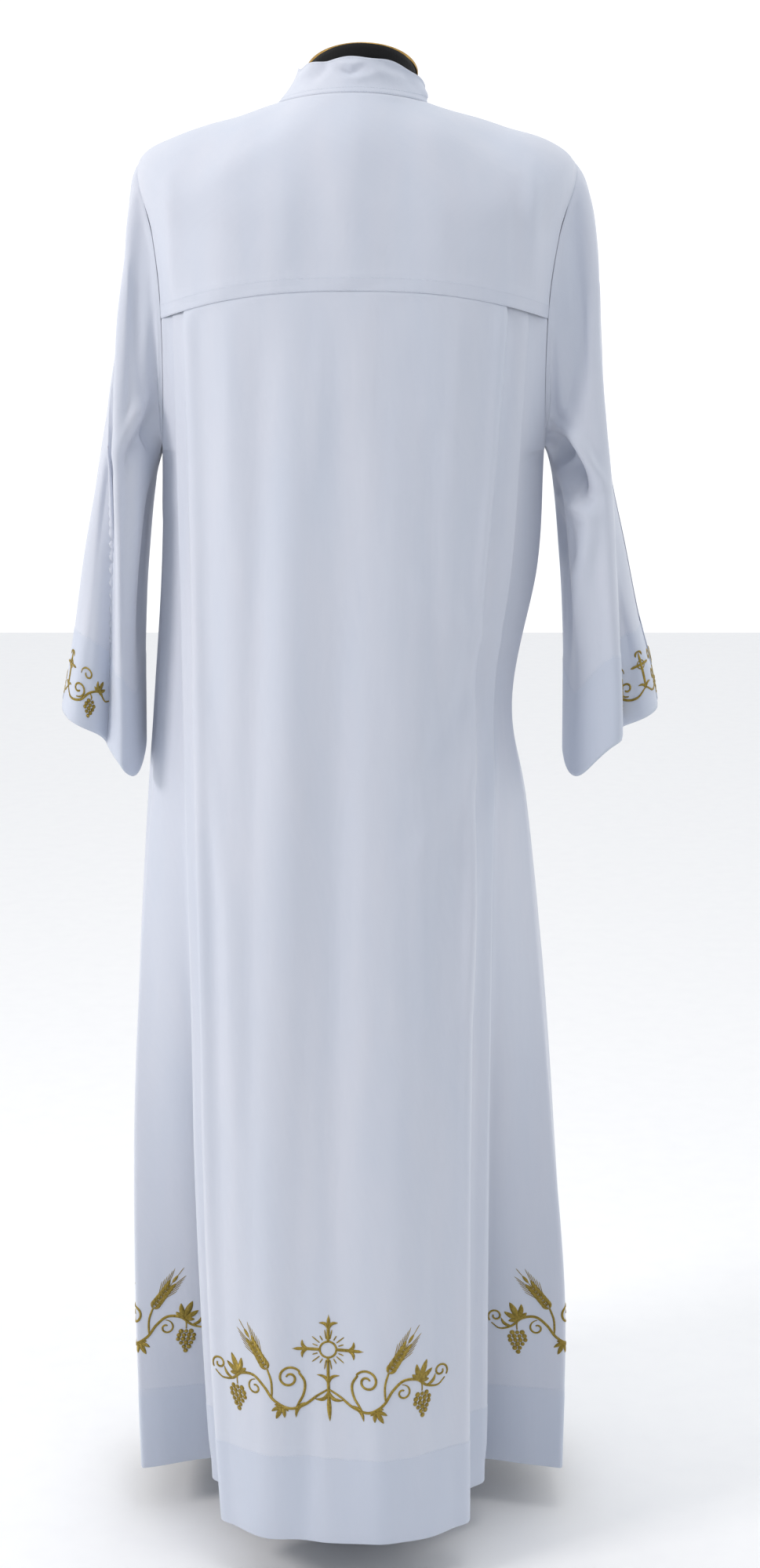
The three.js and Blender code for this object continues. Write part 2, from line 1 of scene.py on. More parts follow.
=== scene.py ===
# %% [markdown]
# # An alb on a dress form
# An alb is the long white robe worn under other vestments. This lesson builds one from its cut pieces: a
# back panel with knife pleats under a yoke, two fronts with a placket, a stand collar and two wide sleeves.
# It hangs on a limbless dress form, with gold thread embroidered round the hem and on the cuffs.
# All sizes are metres. +Z is up, the wearer's front faces -Y and the wearer's left is +X.

# %% Open the frame
import bpy
import bmesh
import math
import numpy as np
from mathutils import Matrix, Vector


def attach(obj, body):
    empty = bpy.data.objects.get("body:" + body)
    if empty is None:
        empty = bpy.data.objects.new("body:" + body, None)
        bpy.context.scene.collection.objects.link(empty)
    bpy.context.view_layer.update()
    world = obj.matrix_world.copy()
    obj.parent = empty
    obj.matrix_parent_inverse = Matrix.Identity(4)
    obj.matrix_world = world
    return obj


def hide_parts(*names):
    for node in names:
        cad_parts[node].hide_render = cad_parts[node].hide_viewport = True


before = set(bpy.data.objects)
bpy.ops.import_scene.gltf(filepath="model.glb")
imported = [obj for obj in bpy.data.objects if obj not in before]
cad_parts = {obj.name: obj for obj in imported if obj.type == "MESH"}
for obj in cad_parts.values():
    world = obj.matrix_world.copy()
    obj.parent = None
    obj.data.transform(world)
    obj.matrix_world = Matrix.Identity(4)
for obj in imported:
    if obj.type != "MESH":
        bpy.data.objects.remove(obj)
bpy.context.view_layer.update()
print("solids:", ", ".join(sorted(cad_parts)))

# %% [markdown]
# ## The table of the hanging robe
# Level rows run from the hem up to the neckline. Each column gives one measure at each row, in millimetres,
# and a smooth curve runs through it.

# %% Rows and columns of the body
ROWS = ("hem", "shin", "knee", "thigh", "hip", "waist", "rib", "underarm", "yoke", "blade", "shoulder",
        "collarbone", "neck")
ROW = {name: i for i, name in enumerate(ROWS)}
BODY = {
    "z_back": (55, 240, 440, 620, 800, 920, 1060, 1180, 1342, 1392, 1436, 1488, 1530),
    "z_side": (55, 245, 440, 620, 800, 920, 1060, 1180, 1310, 1398, 1470, 1501, 1523),
    "z_front": (55, 245, 440, 620, 800, 920, 1060, 1176, 1300, 1350, 1396, 1440, 1478),
    "half_left": (240, 243, 241, 233, 221, 211, 200, 196, 200, 206, 213, 146, 75),
    "half_right": (231, 231, 216, 201, 184, 166, 191, 196, 203, 212, 221, 150, 75),
    "back": (216, 202, 187, 173, 159, 151, 139, 130, 121, 118, 113, 100, 71),
    "front": (195, 188, 179, 170, 160, 154, 145, 138, 130, 125, 116, 100, 82),
    "square": (2.8, 2.8, 2.7, 2.6, 2.5, 2.5, 2.5, 2.5, 2.5, 2.4, 2.2, 2, 2),
    "dip": (0, 0, 0, 0, 0, 0, 0, 0, 0, 5, 18, 10, 0),
}
# The pleats, from the hem to the yoke: the folded edges, how far they are inset, and the room in each turn.
PLEAT = {
    "first_left": (143, 152, 156, 157, 159, 160, 161, 164, 167),
    "first_right": (124, 121, 121, 122, 122, 123, 132, 142, 152),
    "second_left": (162, 165, 168, 170, 173, 174, 176, 178, 179),
    "second_right": (145, 143, 143, 144, 144, 143, 160, 167, 174),
    "first_inset": (40, 34, 26, 18, 12, 9, 6, 4, 0),
    "second_inset": (112, 92, 70, 48, 30, 22, 14, 8, 2.6),
    "over": (24, 20, 15, 11, 8, 6.4, 5, 3.4, 1.9),
    "under": (30, 24, 16, 10, 6, 4, 2.5, 1.2, 0.5),
    "last": (48, 40, 28, 16, 9, 6, 3.5, 1.4, 0.5),
    "tuck": (16, 16, 16, 16, 15, 15, 14, 13, 12),
    "belly": (16, 13, 10, 6, 3, 2, 1, 0.5, 0),
}
# Soft vertical folds: degrees round from centre back, drift, half width, depth, and the row they begin at.
FOLDS = (
    (-9, -3, 7, -9, 7.6), (4, 5, 8, -11, 7.8), (22, 1, 7, 7, 6.5), (-24, 2, 6, 6, 5.5),
    (104, 4, 9, 12, 6.8), (124, -2, 8, -14, 6.2), (141, 3, 9, 13, 7), (160, -3, 8, -12, 5.8),
    (-102, -5, 8, -10, 5.6), (-118, 2, 9, 14, 6.6), (-138, -2, 8, -13, 6.9), (-156, 3, 9, 12, 6.1),
)
# What is turned up at the hem and the cuffs, and the thickness of the cloth, single and folded, in metres.
HEM, CUFF = 0.095, 0.090
SHELL, FOLDED = 0.0005, 0.0010
FOLD_TOP = 0.75  # the width of a fold where it begins, against its width at the hem


def read(column, at):
    """A column at any row, on a smooth curve through its entries."""
    c = np.asarray(column, float)
    slope = np.empty_like(c)
    slope[1:-1] = (c[2:] - c[:-2]) / 2
    slope[0], slope[-1] = c[1] - c[0], c[-1] - c[-2]
    t = np.clip(at, 0, len(c) - 1)
    i = np.minimum(np.floor(t).astype(int), len(c) - 2)
    u = t - i
    rise, m, n = c[i + 1] - c[i], slope[i], slope[i + 1]
    return c[i] + u * m + u**2 * (3 * rise - 2 * m - n) + u**3 * (m + n - 2 * rise)


def smooth(t):
    t = np.clip(t, 0, 1)
    return t * t * (3 - 2 * t)


def mix(a, b, t):
    return a + (b - a) * t


def bell(value, at, wide):
    """1 at one place, falling away smoothly at both sides of it."""
    return np.exp(-(((value - at) / wide) ** 2))


def power(value, exponent):
    return np.sign(value) * np.abs(value) ** exponent


def run_along(line):
    """How far along a line each of its points lies."""
    return np.concatenate([[0], np.cumsum(np.linalg.norm(np.diff(line, axis=0), axis=1))])


def follow(at, run, values):
    """Values at some places along a line, where run says how far along each known value lies."""
    return np.stack([np.interp(at, run, column) for column in values.T], -1)


def body_point(angle, row):
    """A point of the robe in millimetres: angle 0 is centre back, 90 the wearer's left, 180 centre front."""
    angle, row = np.broadcast_arrays(np.asarray(angle, float), np.asarray(row, float))
    a = np.radians(angle)
    half = np.where(angle > 0, read(BODY["half_left"], row), read(BODY["half_right"], row))
    at_back = np.cos(a) > 0
    deep = np.where(at_back, read(BODY["back"], row), read(BODY["front"], row))
    e = 2 / read(BODY["square"], row)
    z_end = np.where(at_back, read(BODY["z_back"], row), read(BODY["z_front"], row))
    x, y = half * power(np.sin(a), e), deep * power(np.cos(a), e)
    z = mix(read(BODY["z_side"], row), z_end, np.cos(a) ** 2) - read(BODY["dip"], row) * np.sin(2 * a) ** 2
    fold = np.zeros_like(x)
    for at, drift, wide, depth, top in FOLDS:
        down = smooth((top - row) / top)
        fold += depth * down * bell(angle - at, drift * down, wide * mix(FOLD_TOP, 1, down))
    out = 1 + fold / np.hypot(x, y)
    return np.stack([x * out, y * out, z], -1)


print("back length:", round(read(BODY["z_back"], 12.0) - read(BODY["z_back"], 0.0)), "mm")

# %% [markdown]
# ## The pleated back
# Two knife pleats at each side turn the back panel in an S: outwards to a folded edge, back under it, and on.
# Each level is drawn as a rounded path with the same number of points, so a thread can be followed down.

# %% Draw one level of the back panel
def angle_at(side, x, row):
    half = read(BODY["half_left"] if side > 0 else BODY["half_right"], row)
    return side * math.degrees(math.asin(min(1, (x / half) ** (read(BODY["square"], row) / 2))))


def back_point(angle, row):
    """The centre panel bends inwards towards the first pleats' edges."""
    p = body_point(angle, row)
    reach = np.where(p[..., 0] > 0, read(PLEAT["first_left"], row), read(PLEAT["first_right"], row))
    near = np.minimum(1, np.abs(p[..., 0]) / reach)
    p[..., 1] -= read(PLEAT["first_inset"], row) * smooth((near - 0.45) / 0.55) ** 1.5
    return p


def back_level(x, row):
    half = np.where(x > 0, read(BODY["half_left"], row), read(BODY["half_right"], row))
    out = np.minimum(1, np.abs(x) / half) ** read(BODY["square"], row)
    return mix(read(BODY["z_back"], row), read(BODY["z_side"], row), out)


# The armhole: half its width and its lean forwards, in degrees, and how much rounder than a circle it is.
ARM_HALF, ARM_FORWARD, ARM_ROUND = 21, 7, 1.1


def arm_share(row):
    return (row - ROW["underarm"]) / (ROW["shoulder"] - ROW["underarm"])


def arm_half(row):
    share = np.clip(arm_share(row), 0, 1)
    return ARM_HALF * (2 * np.sqrt(share * (1 - share))) ** ARM_ROUND


def arm_middle(row):
    return 90 + ARM_FORWARD * smooth(arm_share(row))


# Points along each straight between two corners, and round each corner.
STRAIGHTS = (3, 1, 2, 1, 5, 1, 2, 1, 2, 14, 14, 5)
ROUND = 4
# The flat centre ends so many degrees before the folded edge. A corner rounds at most this share of a side.
FLAT_END, CORNER = 6, 0.4
CLEAR, PAST = 0.4, 2  # the way round the second pleat's inner turn, in millimetres


def pleat_path(side, row):
    """From the flat centre round both pleats of one side to the side seam."""
    hand = "left" if side > 0 else "right"
    over, under, last, tuck = (read(PLEAT[c], row) for c in ("over", "under", "last", "tuck"))
    first_angle = angle_at(side, read(PLEAT["first_" + hand], row), row)
    edge = back_point(first_angle, row)[:2]
    before = back_point(first_angle - side * FLAT_END, row)[:2]

    def pleat(at, start):
        along = (at - start) / np.linalg.norm(at - start)
        into = np.array([along[1], -along[0]]) * side
        turn = at + into * over
        return along, into, turn, turn - along * tuck

    along, into, turn, heel = pleat(edge, before)
    heel_in = heel + into * under
    fold = body_point(angle_at(side, read(PLEAT["second_" + hand], row), row), row)[:2]
    fold[1] -= read(PLEAT["second_inset"], row)
    along2, into2, turn2, heel2 = pleat(fold, heel_in)
    seam_angle = side * (arm_middle(row) - arm_half(row))
    seam = body_point(seam_angle, row)[:2]
    near = body_point(seam_angle - side * mix(8, 2, row / ROW["yoke"]), row)[:2]
    clear = fold + into2 * (over + last + CLEAR) + along2 * PAST
    belly = mix(clear, near, 0.5) + near / np.linalg.norm(near) * read(PLEAT["belly"], row)
    corners = [(before, 0), (edge, over / 2), (turn, over / 2), (heel, under / 2), (heel_in, under / 2),
               (fold, over / 2), (turn2, over / 2), (heel2, last / 2), (heel2 + into2 * last, last / 2),
               (clear, 3), (belly, 30), (near, 4), (seam, 0)]
    out, end = [], before
    for k in range(1, len(corners)):
        p, radius = corners[k]
        if k < len(corners) - 1:
            before_p, after_p = corners[k - 1][0], corners[k + 1][0]
            a = p + (before_p - p) * min(CORNER, radius / np.linalg.norm(before_p - p))
            b = p + (after_p - p) * min(CORNER, radius / np.linalg.norm(after_p - p))
        else:
            a = b = p
        steps = STRAIGHTS[k - 1]
        shares = np.arange(1, steps + 1) / (steps + 1)
        if k == len(corners) - 1:
            shares = 1 - (1 - shares) ** 2.5
        out += [mix(end, a, share) for share in shares] + [a]
        if k < len(corners) - 1:
            out += [a * (1 - t) ** 2 + p * 2 * t * (1 - t) + b * t * t
                    for t in ((i + 1) / ROUND for i in range(ROUND))]
        end = b
    return np.array(out)


CENTRE = 48


def back_line(row):
    """One level of the back panel, from the right side to the left side."""
    right, left = pleat_path(-1, row), pleat_path(1, row)
    start = angle_at(-1, read(PLEAT["first_right"], row), row) + FLAT_END
    end = angle_at(1, read(PLEAT["first_left"], row), row) - FLAT_END
    middle = back_point(np.linspace(start, end, CENTRE + 1), row)[:, :2]
    line = np.concatenate([right[::-1], middle, left])
    return np.column_stack([line, back_level(line[:, 0], row)])


print("points across the back panel:", len(back_line(2.0)))

# %% [markdown]
# ## Surfaces, creases and shells
# Each piece of cloth starts as a flat grid, and its points are laid on the hanging form. The creases are
# placed one by one: a soft ridge or trough along a short line, seen from the back, the front or a side. Then
# the sheet is given its thickness, with the outer face where it was laid.

# %% Lay out the surfaces
def grid_normals(p):
    across, up = np.gradient(p, axis=1), np.gradient(p, axis=0)
    if np.allclose(p[:, 0], p[:, -1]):
        across[:, 0] = across[:, -1] = (p[:, 1] - p[:, -2]) / 2
    n = np.cross(up, across)
    return n / (np.linalg.norm(n, axis=2, keepdims=True) + 1e-12)


def lengths(p):
    """How far each point lies along its row and up its column, in metres of cloth."""
    along = np.linalg.norm(np.diff(p, axis=1), axis=2)
    up = np.linalg.norm(np.diff(p, axis=0), axis=2)
    s = np.concatenate([np.zeros((p.shape[0], 1)), np.cumsum(along, axis=1)], axis=1)
    t = np.concatenate([np.zeros((1, p.shape[1])), np.cumsum(up, axis=0)], axis=0)
    return s, t


UNEVEN = 0.0008  # how far the whole cloth waves, in metres
# The sides a crease is seen from: which axis runs across that view, and the way towards the viewer.
VIEWS = {"back": (0, (0, 1)), "front": (0, (0, -1)), "left": (1, (1, 0)), "right": (1, (-1, 0))}


def crease(points, normals, lines, held):
    """Move the points along their normals by every crease, less where a seam holds the cloth."""
    x, y, z = points[..., 0], points[..., 1], points[..., 2]
    total = UNEVEN * (np.sin(58 * x + 31 * y + 3.1 * z) + 0.7 * np.sin(93 * x - 47 * y - 5.3 * z + 1.9))
    for view, wide, high, *line in lines:
        axis, (nx, ny) = VIEWS[view]
        across = points[..., axis]
        facing = smooth((normals[..., 0] * nx + normals[..., 1] * ny - 0.05) / 0.45)
        best, place = np.full(total.shape, np.inf), np.zeros(total.shape)
        line = np.reshape(line, (-1, 2)) / 1000
        run = run_along(line)
        for k in range(len(line) - 1):
            a, d = line[k], line[k + 1] - line[k]
            length = np.linalg.norm(d)
            t = np.clip(((across - a[0]) * d[0] + (z - a[1]) * d[1]) / length**2, 0, 1)
            far = np.hypot(across - a[0] - d[0] * t, z - a[1] - d[1] * t)
            place = np.where(far < best, (run[k] + t * length) / run[-1], place)
            best = np.minimum(best, far)
        taper = np.sin(np.pi * np.clip(0.06 + 0.88 * place, 0, 1)) ** 0.7
        total += facing * high / 1000 * taper * bell(best, 0, wide / 1000)
    return points + normals * (total * held)[..., None]


def step_rows(rows, fine):
    """The rows of a surface, with so many steps between each two."""
    steps = [np.linspace(a, b, fine, endpoint=False) for a, b in zip(rows, rows[1:])]
    return np.concatenate(steps + [[rows[-1]]])


arm_rows = ROW["underarm"] + 3 * (1 - np.cos(np.pi * np.arange(14) / 13)) / 2
yoke_step = int(np.argmin(np.abs(arm_rows - ROW["yoke"])))
arm_rows[yoke_step] = ROW["yoke"]
hem_row = HEM * 1000 / 185  # the first row stands 185 mm above the hem
at_hem = [0.004, 0.010] + [hem_row + d for d in (-0.014, -0.006, 0, 0.006, 0.014)]
skirt_rows = np.sort(np.concatenate([np.linspace(0, ROW["underarm"], 112), at_hem]))
below_yoke = ROW["yoke"] - np.array([0.035, 0.020, 0.010, 0.004])
above_yoke = ROW["yoke"] + np.array([0.012, 0.030, 0.060])
lower_arm = np.sort(np.concatenate([step_rows(arm_rows[:yoke_step + 1], 5), below_yoke]))
upper_arm = np.sort(np.concatenate([step_rows(arm_rows[yoke_step:], 5), above_yoke]))
to_neck = np.linspace(ROW["shoulder"], ROW["neck"] - 0.06, 32)
shoulder_rows = np.append(to_neck, ROW["neck"] - np.array([0.03, 0.012, 0]))
ROUNDS = {
    "back_panel": np.concatenate([skirt_rows, lower_arm[1:]]),
    "back_yoke": np.concatenate([upper_arm, shoulder_rows[1:]]),
    "front": np.concatenate([skirt_rows, lower_arm[1:], upper_arm[1:], shoulder_rows[1:]]),
}
NEAR_EDGE = np.array([0, 0.0015, 0.004, 0.008])
across_yoke = np.concatenate([NEAR_EDGE, np.linspace(0.014, 0.986, 140), 1 - NEAR_EDGE[::-1]]) * 2 - 1
across_front = np.concatenate([NEAR_EDGE, np.linspace(0.014, 1, 82)])


def front_angles(row):
    return mix(arm_middle(row) + arm_half(row), 179.97, across_front)


base = {
    "back_panel": np.array([back_line(row) for row in ROUNDS["back_panel"]]),
    "back_yoke": np.array([body_point(across_yoke * (arm_middle(row) - arm_half(row)), row)
                           for row in ROUNDS["back_yoke"]]),
    "front_left": np.array([body_point(front_angles(row), row) for row in ROUNDS["front"]]),
    "front_right": np.array([body_point(-front_angles(row)[::-1], row) for row in ROUNDS["front"]]),
}
for name in base:
    base[name] /= 1000
    print(name, base[name].shape)

# %% [markdown]
# ### The sleeves and the collar
# A sleeve is lofted from the armhole to the cuff. Angle 0 runs down the outside of the arm, 90 down the back
# and 180 along the underarm. Two long folds pinch its back.

# %% Lay out the sleeves
SLEEVE = {
    "over_left": (213, 225, 232, 241, 252, 263, 275, 286, 297, 307),
    "over_right": (221, 237, 247, 251, 258, 269, 285, 299, 313, 321),
    "over_z": (1470, 1452, 1385, 1310, 1235, 1160, 1080, 1010, 955, 912),
    "under_x": (200, 204, 207, 210, 213, 216, 218, 220, 221, 222),
    "under_z": (1180, 1160, 1133, 1104, 1070, 1035, 998, 958, 914, 872),
    "forward": (17, 15, 11, 7, 4, 2, 0, 0, 0, 0),
    "back": (48, 58, 66, 71, 73, 74, 75, 76, 77, 78),
    "front": (48, 56, 62, 66, 68, 69, 71, 73, 75, 77),
    "drop": (0, 3, 6, 10, 14, 18, 22, 26, 29, 31),
    "ridge_left": (44, 44, 44, 52, 74, 92, 103, 111, 117, 120),
    "ridge_right": (44, 44, 44, 44, 44, 48, 62, 74, 83, 88),
    "groove_left": (0, 0, 0.04, 0.14, 0.28, 0.4, 0.48, 0.52, 0.54, 0.54),
    "groove_right": (0, 0, 0, 0.08, 0.2, 0.33, 0.44, 0.5, 0.53, 0.54),
    "pinch": (0, 0.02, 0.14, 0.32, 0.42, 0.4, 0.28, 0.12, 0.04, 0),
}
SLEEVE_ROWS, SLEEVE_COLS = 140, 180
BLENDED = 1.6  # the station at which a sleeve has left the armhole's shape
# Round the sleeve, each with an angle and a width in degrees: the pinch, the sag of the underarm and the rise
# in front. The groove lies so far before the ridge, steep on one side and gentle on the other.
PINCH, SAG, RISE = (168, 22), (145, 42), (290, 60)
GROOVE_BEFORE, STEEP, GENTLE = 13, 9, 38


def sleeve_surface(side):
    hand = "left" if side > 0 else "right"
    down = [body_point(side * (arm_middle(r) - arm_half(r)), r) for r in arm_rows[::-1]]
    up = [body_point(side * (arm_middle(r) + arm_half(r)), r) for r in arm_rows[1:-1]]
    seam = np.array(down + up)
    seam = mix(seam, seam.mean(axis=0), 0.004)
    seam[:, 0] += side * 0.45
    at = np.linspace(0, len(seam), SLEEVE_COLS + 1)
    ring = follow(at, np.arange(len(seam) + 1), np.append(seam, seam[:1], axis=0))
    for _ in range(4):
        inner = ring[:-1]
        ring[:-1] = (np.roll(inner, 1, axis=0) + 2 * inner + np.roll(inner, -1, axis=0)) / 4
        ring[-1] = ring[0]
    phi = np.linspace(0, 360, SLEEVE_COLS + 1)
    a = np.radians(phi)
    lines = []
    for station in np.concatenate([[0, 0.01, 0.025, 0.045], np.linspace(0.07, 9, SLEEVE_ROWS)]):
        col = {name: float(read(values, station)) for name, values in SLEEVE.items()}
        over = np.array([col["over_" + hand], 0, col["over_z"]])
        under = np.array([col["under_x"], 0, col["under_z"]])
        centre = (over + under) / 2
        deep = np.where(np.sin(a) > 0, col["back"], col["front"])
        past = phi - (col["ridge_" + hand] - GROOVE_BEFORE)
        near = bell(past, 0, np.where(past > 0, STEEP, GENTLE))
        near = np.maximum(near, near[0] * smooth((phi - 334) / 26))
        shape = (1 - col["groove_" + hand] * near) * (1 - col["pinch"] * bell(phi, *PINCH))
        sink = bell(phi, *SAG) - 0.6 * bell(phi, *RISE)
        p = centre + (over - centre) * (power(np.cos(a), 0.9) * shape)[:, None]
        p[:, 1] += deep * power(np.sin(a), 0.9) * shape - col["forward"]
        p[:, 2] -= col["drop"] * sink
        p[:, 0] *= side
        lines.append(mix(ring, p, float(smooth(station / BLENDED))))
    return np.array(lines[::-1]) / 1000


for name, side in (("sleeve_left", 1), ("sleeve_right", -1)):
    base[name] = sleeve_surface(side)[:, ::-side]

# %% Lay out the collar and the placket
COLLAR = {"height": 33, "lean": 12, "lean_front": 18, "lift": 0.1, "gap": 0.6, "drift": -9}
# The placket begins a little below the underarm's level, and lies on the fronts.
PLACKET_FOOT, PLACKET_HALF, PLACKET_LIES = 6.4, 16, 0.0017
# The collar has slumped on the wearer's right: how far its upper edge drops there, and over what angles.
SLUMP = {"drop": 17, "at": -98, "wide": 46, "bulge": 4.5}
COLLAR_COLS, COLLAR_ROWS = 260, 30


def collar_surface():
    angle = np.linspace(-180 + COLLAR["gap"], 180 - COLLAR["gap"], COLLAR_COLS + 1)
    foot = body_point(angle, ROW["neck"])
    away = foot[:, :2] / np.linalg.norm(foot[:, :2], axis=1, keepdims=True)
    lines = []
    for up in np.linspace(0, 1, COLLAR_ROWS + 1):
        lean = mix(COLLAR["lean"], COLLAR["lean_front"], smooth((np.abs(angle) - 90) / 90))
        p = foot.copy()
        p[:, :2] -= away * (lean * (1 - (1 - up) ** 2))[:, None]
        p[:, 0] += COLLAR["drift"] * up
        wavy = 1.0 * np.sin(np.radians(3 * angle + 75)) + 0.8 * np.sin(np.radians(9 * angle - 15))
        slumped = bell(angle, SLUMP["at"], SLUMP["wide"])
        p[:, :2] += away * (SLUMP["bulge"] * slumped * np.sin(np.pi * up) ** 2)[:, None]
        p[:, 2] += COLLAR["lift"] + (COLLAR["height"] - SLUMP["drop"] * slumped + wavy * up) * up
        lines.append(p)
    return np.array(lines) / 1000


def placket_surface():
    lines = []
    for row in np.linspace(PLACKET_FOOT, ROW["neck"], 90):
        half = np.linspace(180 - angle_at(1, PLACKET_HALF, row), 180, 13)
        lines.append(body_point(np.concatenate([half, -half[-2::-1]]), row))
    p = np.array(lines) / 1000
    return p + grid_normals(p) * PLACKET_LIES


base["collar_band"] = collar_surface()
base["front_placket"] = placket_surface()
for name in ("sleeve_left", "collar_band", "front_placket"):
    print(name, base[name].shape)

# %% [markdown]
# ## The creases, placed one by one
# Long soft folds drop from the shoulders and from the armholes, drag lines run into the right hip, and the
# cloth puckers a little beside each seam. Hidden sides get folds of the same kind.

# %% Creases of each piece
# A crease: the side it is seen from, its half width, its height (a ridge is positive), and the points of its
# line, each across and up, all in millimetres. Across is x for back and front, and y for a side.
CREASES = {
    "back_panel": [
        ("back", 20, 5, 52, 1330, 64, 1050, 66, 700, 72, 300, 70, 80),
        ("back", 15, -5.5, 90, 1280, 104, 850, 110, 450, 108, 100),
        ("back", 17, -5, 6, 1220, 14, 800, 20, 400, 18, 70),
        ("back", 18, 5, -40, 1300, -42, 950, -48, 600, -50, 120),
        ("back", 13, -5, -78, 1200, -88, 800, -86, 400, -80, 80),
        ("back", 9, 1.8, 30, 1330, 34, 1160),
        ("back", 8, 1.6, -12, 1335, -16, 1120),
        ("back", 9, 1.5, -105, 1320, -100, 1150),
        ("back", 9, 1.5, 120, 1330, 124, 1100),
        ("back", 11, -4, -150, 1040, -120, 950, -70, 870),
        ("back", 10, 3.5, -152, 990, -115, 1010, -60, 1060),
        ("back", 11, 4.5, -150, 900, -128, 800, -112, 620),
        ("back", 12, 3, -140, 920, -100, 830, -60, 780),
        ("back", 10, 3.5, 150, 950, 128, 720, 126, 500),
        ("back", 7, 5.5, 164, 1500, 162, 1330, 158, 1180, 155, 900, 151, 400, 139, 60),
        ("back", 7, 5.5, -150, 1500, -147, 1330, -137, 1180, -127, 1060, -117, 900, -115, 350, -118, 60),
        ("back", 5, -1.8, -163, 1360, -152, 1200, -136, 1040),
        ("back", 5, -1.8, 172, 1360, 170, 1200, 168, 1000),
        ("back", 6, 2.8, 175, 1330, 172, 1100, 167, 750, 158, 100),
        ("back", 6, 2.8, -170, 1330, -156, 1180, -140, 950, -138, 600, -140, 100),
        ("back", 14, 4, -20, 300, -30, 60),
        ("back", 12, -3.5, 45, 260, 47, 60),
        ("left", 15, -6, 20, 1100, 10, 700, 0, 200),
        ("left", 14, 6, 70, 800, 80, 450, 80, 100),
        ("right", 15, -6, 0, 800, 10, 500, 10, 100),
        ("right", 13, 5.5, 60, 850, 70, 500, 80, 100),
    ],
    "back_yoke": [
        ("back", 15, 2.2, 30, 1515, 100, 1470, 165, 1430),
        ("back", 15, 2, -30, 1515, -105, 1480, -180, 1440),
        ("back", 8, 3, -176, 1460, -178, 1350),
        ("back", 7, -1.2, -160, 1440, -158, 1350),
        ("back", 8, 2.4, 180, 1450, 178, 1340),
        ("back", 22, 1.2, 0, 1490, 10, 1420, -10, 1360),
        ("back", 15, 1.4, 60, 1450, 70, 1360),
        ("back", 14, 1.3, -80, 1440, -90, 1360),
    ],
    "front_left": [
        ("front", 18, 6, 48, 1380, 60, 1000, 72, 500, 80, 80),
        ("front", 15, -6, 100, 1300, 116, 900, 128, 400, 130, 100),
        ("front", 13, 3.5, 150, 1400, 120, 1300, 85, 1240),
        ("front", 12, -2.5, 155, 1340, 130, 1200, 100, 1120),
        ("front", 12, -4, 24, 800, 30, 450, 28, 100),
        ("left", 14, 6, -60, 1100, -70, 700, -75, 200),
        ("left", 12, -5, -110, 950, -120, 550, -120, 120),
    ],
    "front_right": [
        ("front", 18, 5.5, -45, 1360, -58, 1050, -66, 600, -80, 100),
        ("front", 14, -6, -96, 1280, -110, 900, -118, 350, -120, 80),
        ("front", 13, 3.2, -150, 1410, -118, 1310, -80, 1260),
        ("front", 12, -2.5, -155, 1330, -125, 1190, -95, 1130),
        ("front", 13, -3.5, -22, 720, -30, 400, -26, 80),
        ("right", 14, 5, -50, 1080, -45, 900, -30, 600, -30, 150),
        ("right", 12, -5, -100, 900, -100, 500, -110, 100),
    ],
    "sleeve_left": [
        ("back", 8, 5, 226, 1430, 236, 1360, 242, 1200, 246, 1000, 250, 880),
        ("back", 8, -5, 212, 1400, 222, 1280, 228, 1120, 232, 980),
        ("back", 7, 4, 205, 1330, 212, 1240, 224, 1170),
        ("back", 7, -11, 204, 1215, 214, 1190, 228, 1165),
        ("back", 6, 4, 206, 1240, 222, 1215, 238, 1175),
        ("back", 8, 3.5, 212, 1170, 219, 1100, 224, 1000),
        ("back", 8, -3.5, 262, 1060, 272, 980, 280, 900),
        ("left", 12, -6, 10, 1430, -10, 1200, -30, 950),
        ("left", 10, 4.5, 40, 1360, 40, 1120, 30, 940),
        ("left", 10, 4, -50, 1350, -50, 1150, -60, 950),
    ],
    "sleeve_right": [
        ("back", 8, 5, -232, 1440, -244, 1360, -250, 1200, -262, 1000, -272, 880),
        ("back", 7, -5.5, -220, 1420, -226, 1340, -230, 1240),
        ("back", 7, 5.5, -205, 1300, -212, 1230, -232, 1185, -244, 1140),
        ("back", 10, -27, -196, 1196, -216, 1168, -238, 1140),
        ("back", 5, 7, -200, 1216, -224, 1196, -248, 1150),
        ("back", 6, 5, -204, 1136, -220, 1128, -238, 1116),
        ("back", 6, -7, -206, 1120, -216, 1100, -222, 1070),
        ("back", 9, 6, -242, 1145, -238, 1100, -229, 1050, -219, 950),
        ("back", 6, -4, -214, 1080, -212, 1030, -214, 960),
        ("back", 8, -3.5, -270, 1080, -282, 990, -292, 900),
        ("right", 12, -6, -10, 1430, -20, 1200, -40, 950),
        ("right", 10, 4.5, 30, 1340, 40, 1120, 30, 940),
        ("right", 10, 4, -50, 1330, -50, 1140, -60, 950),
    ],
    "collar_band": [
        ("back", 3.2, -2.6, 12, 1552.5, 1, 1549, -10, 1553.5),
        ("back", 3.6, 2.2, 13, 1558, 1, 1556.5, -11, 1559),
        ("back", 4, 1.8, 10, 1544, -6, 1543, -26, 1548),
        ("back", 5, -2.6, 24, 1565, 27, 1553, 40, 1541),
        ("back", 5, 2.4, 34, 1563, 44, 1550, 60, 1540),
        ("back", 5, -2.2, 52, 1560, 66, 1545),
        ("back", 5, 2, -14, 1564, -22, 1552, -44, 1545),
        ("back", 4.5, -2.4, -30, 1558, -50, 1548, -64, 1536),
        ("back", 4, 1.8, -40, 1552, -58, 1542),
        ("front", 8, -2, 30, 1520, 36, 1490),
        ("front", 8, -2, -34, 1520, -30, 1490),
    ],
    "front_placket": [],
}
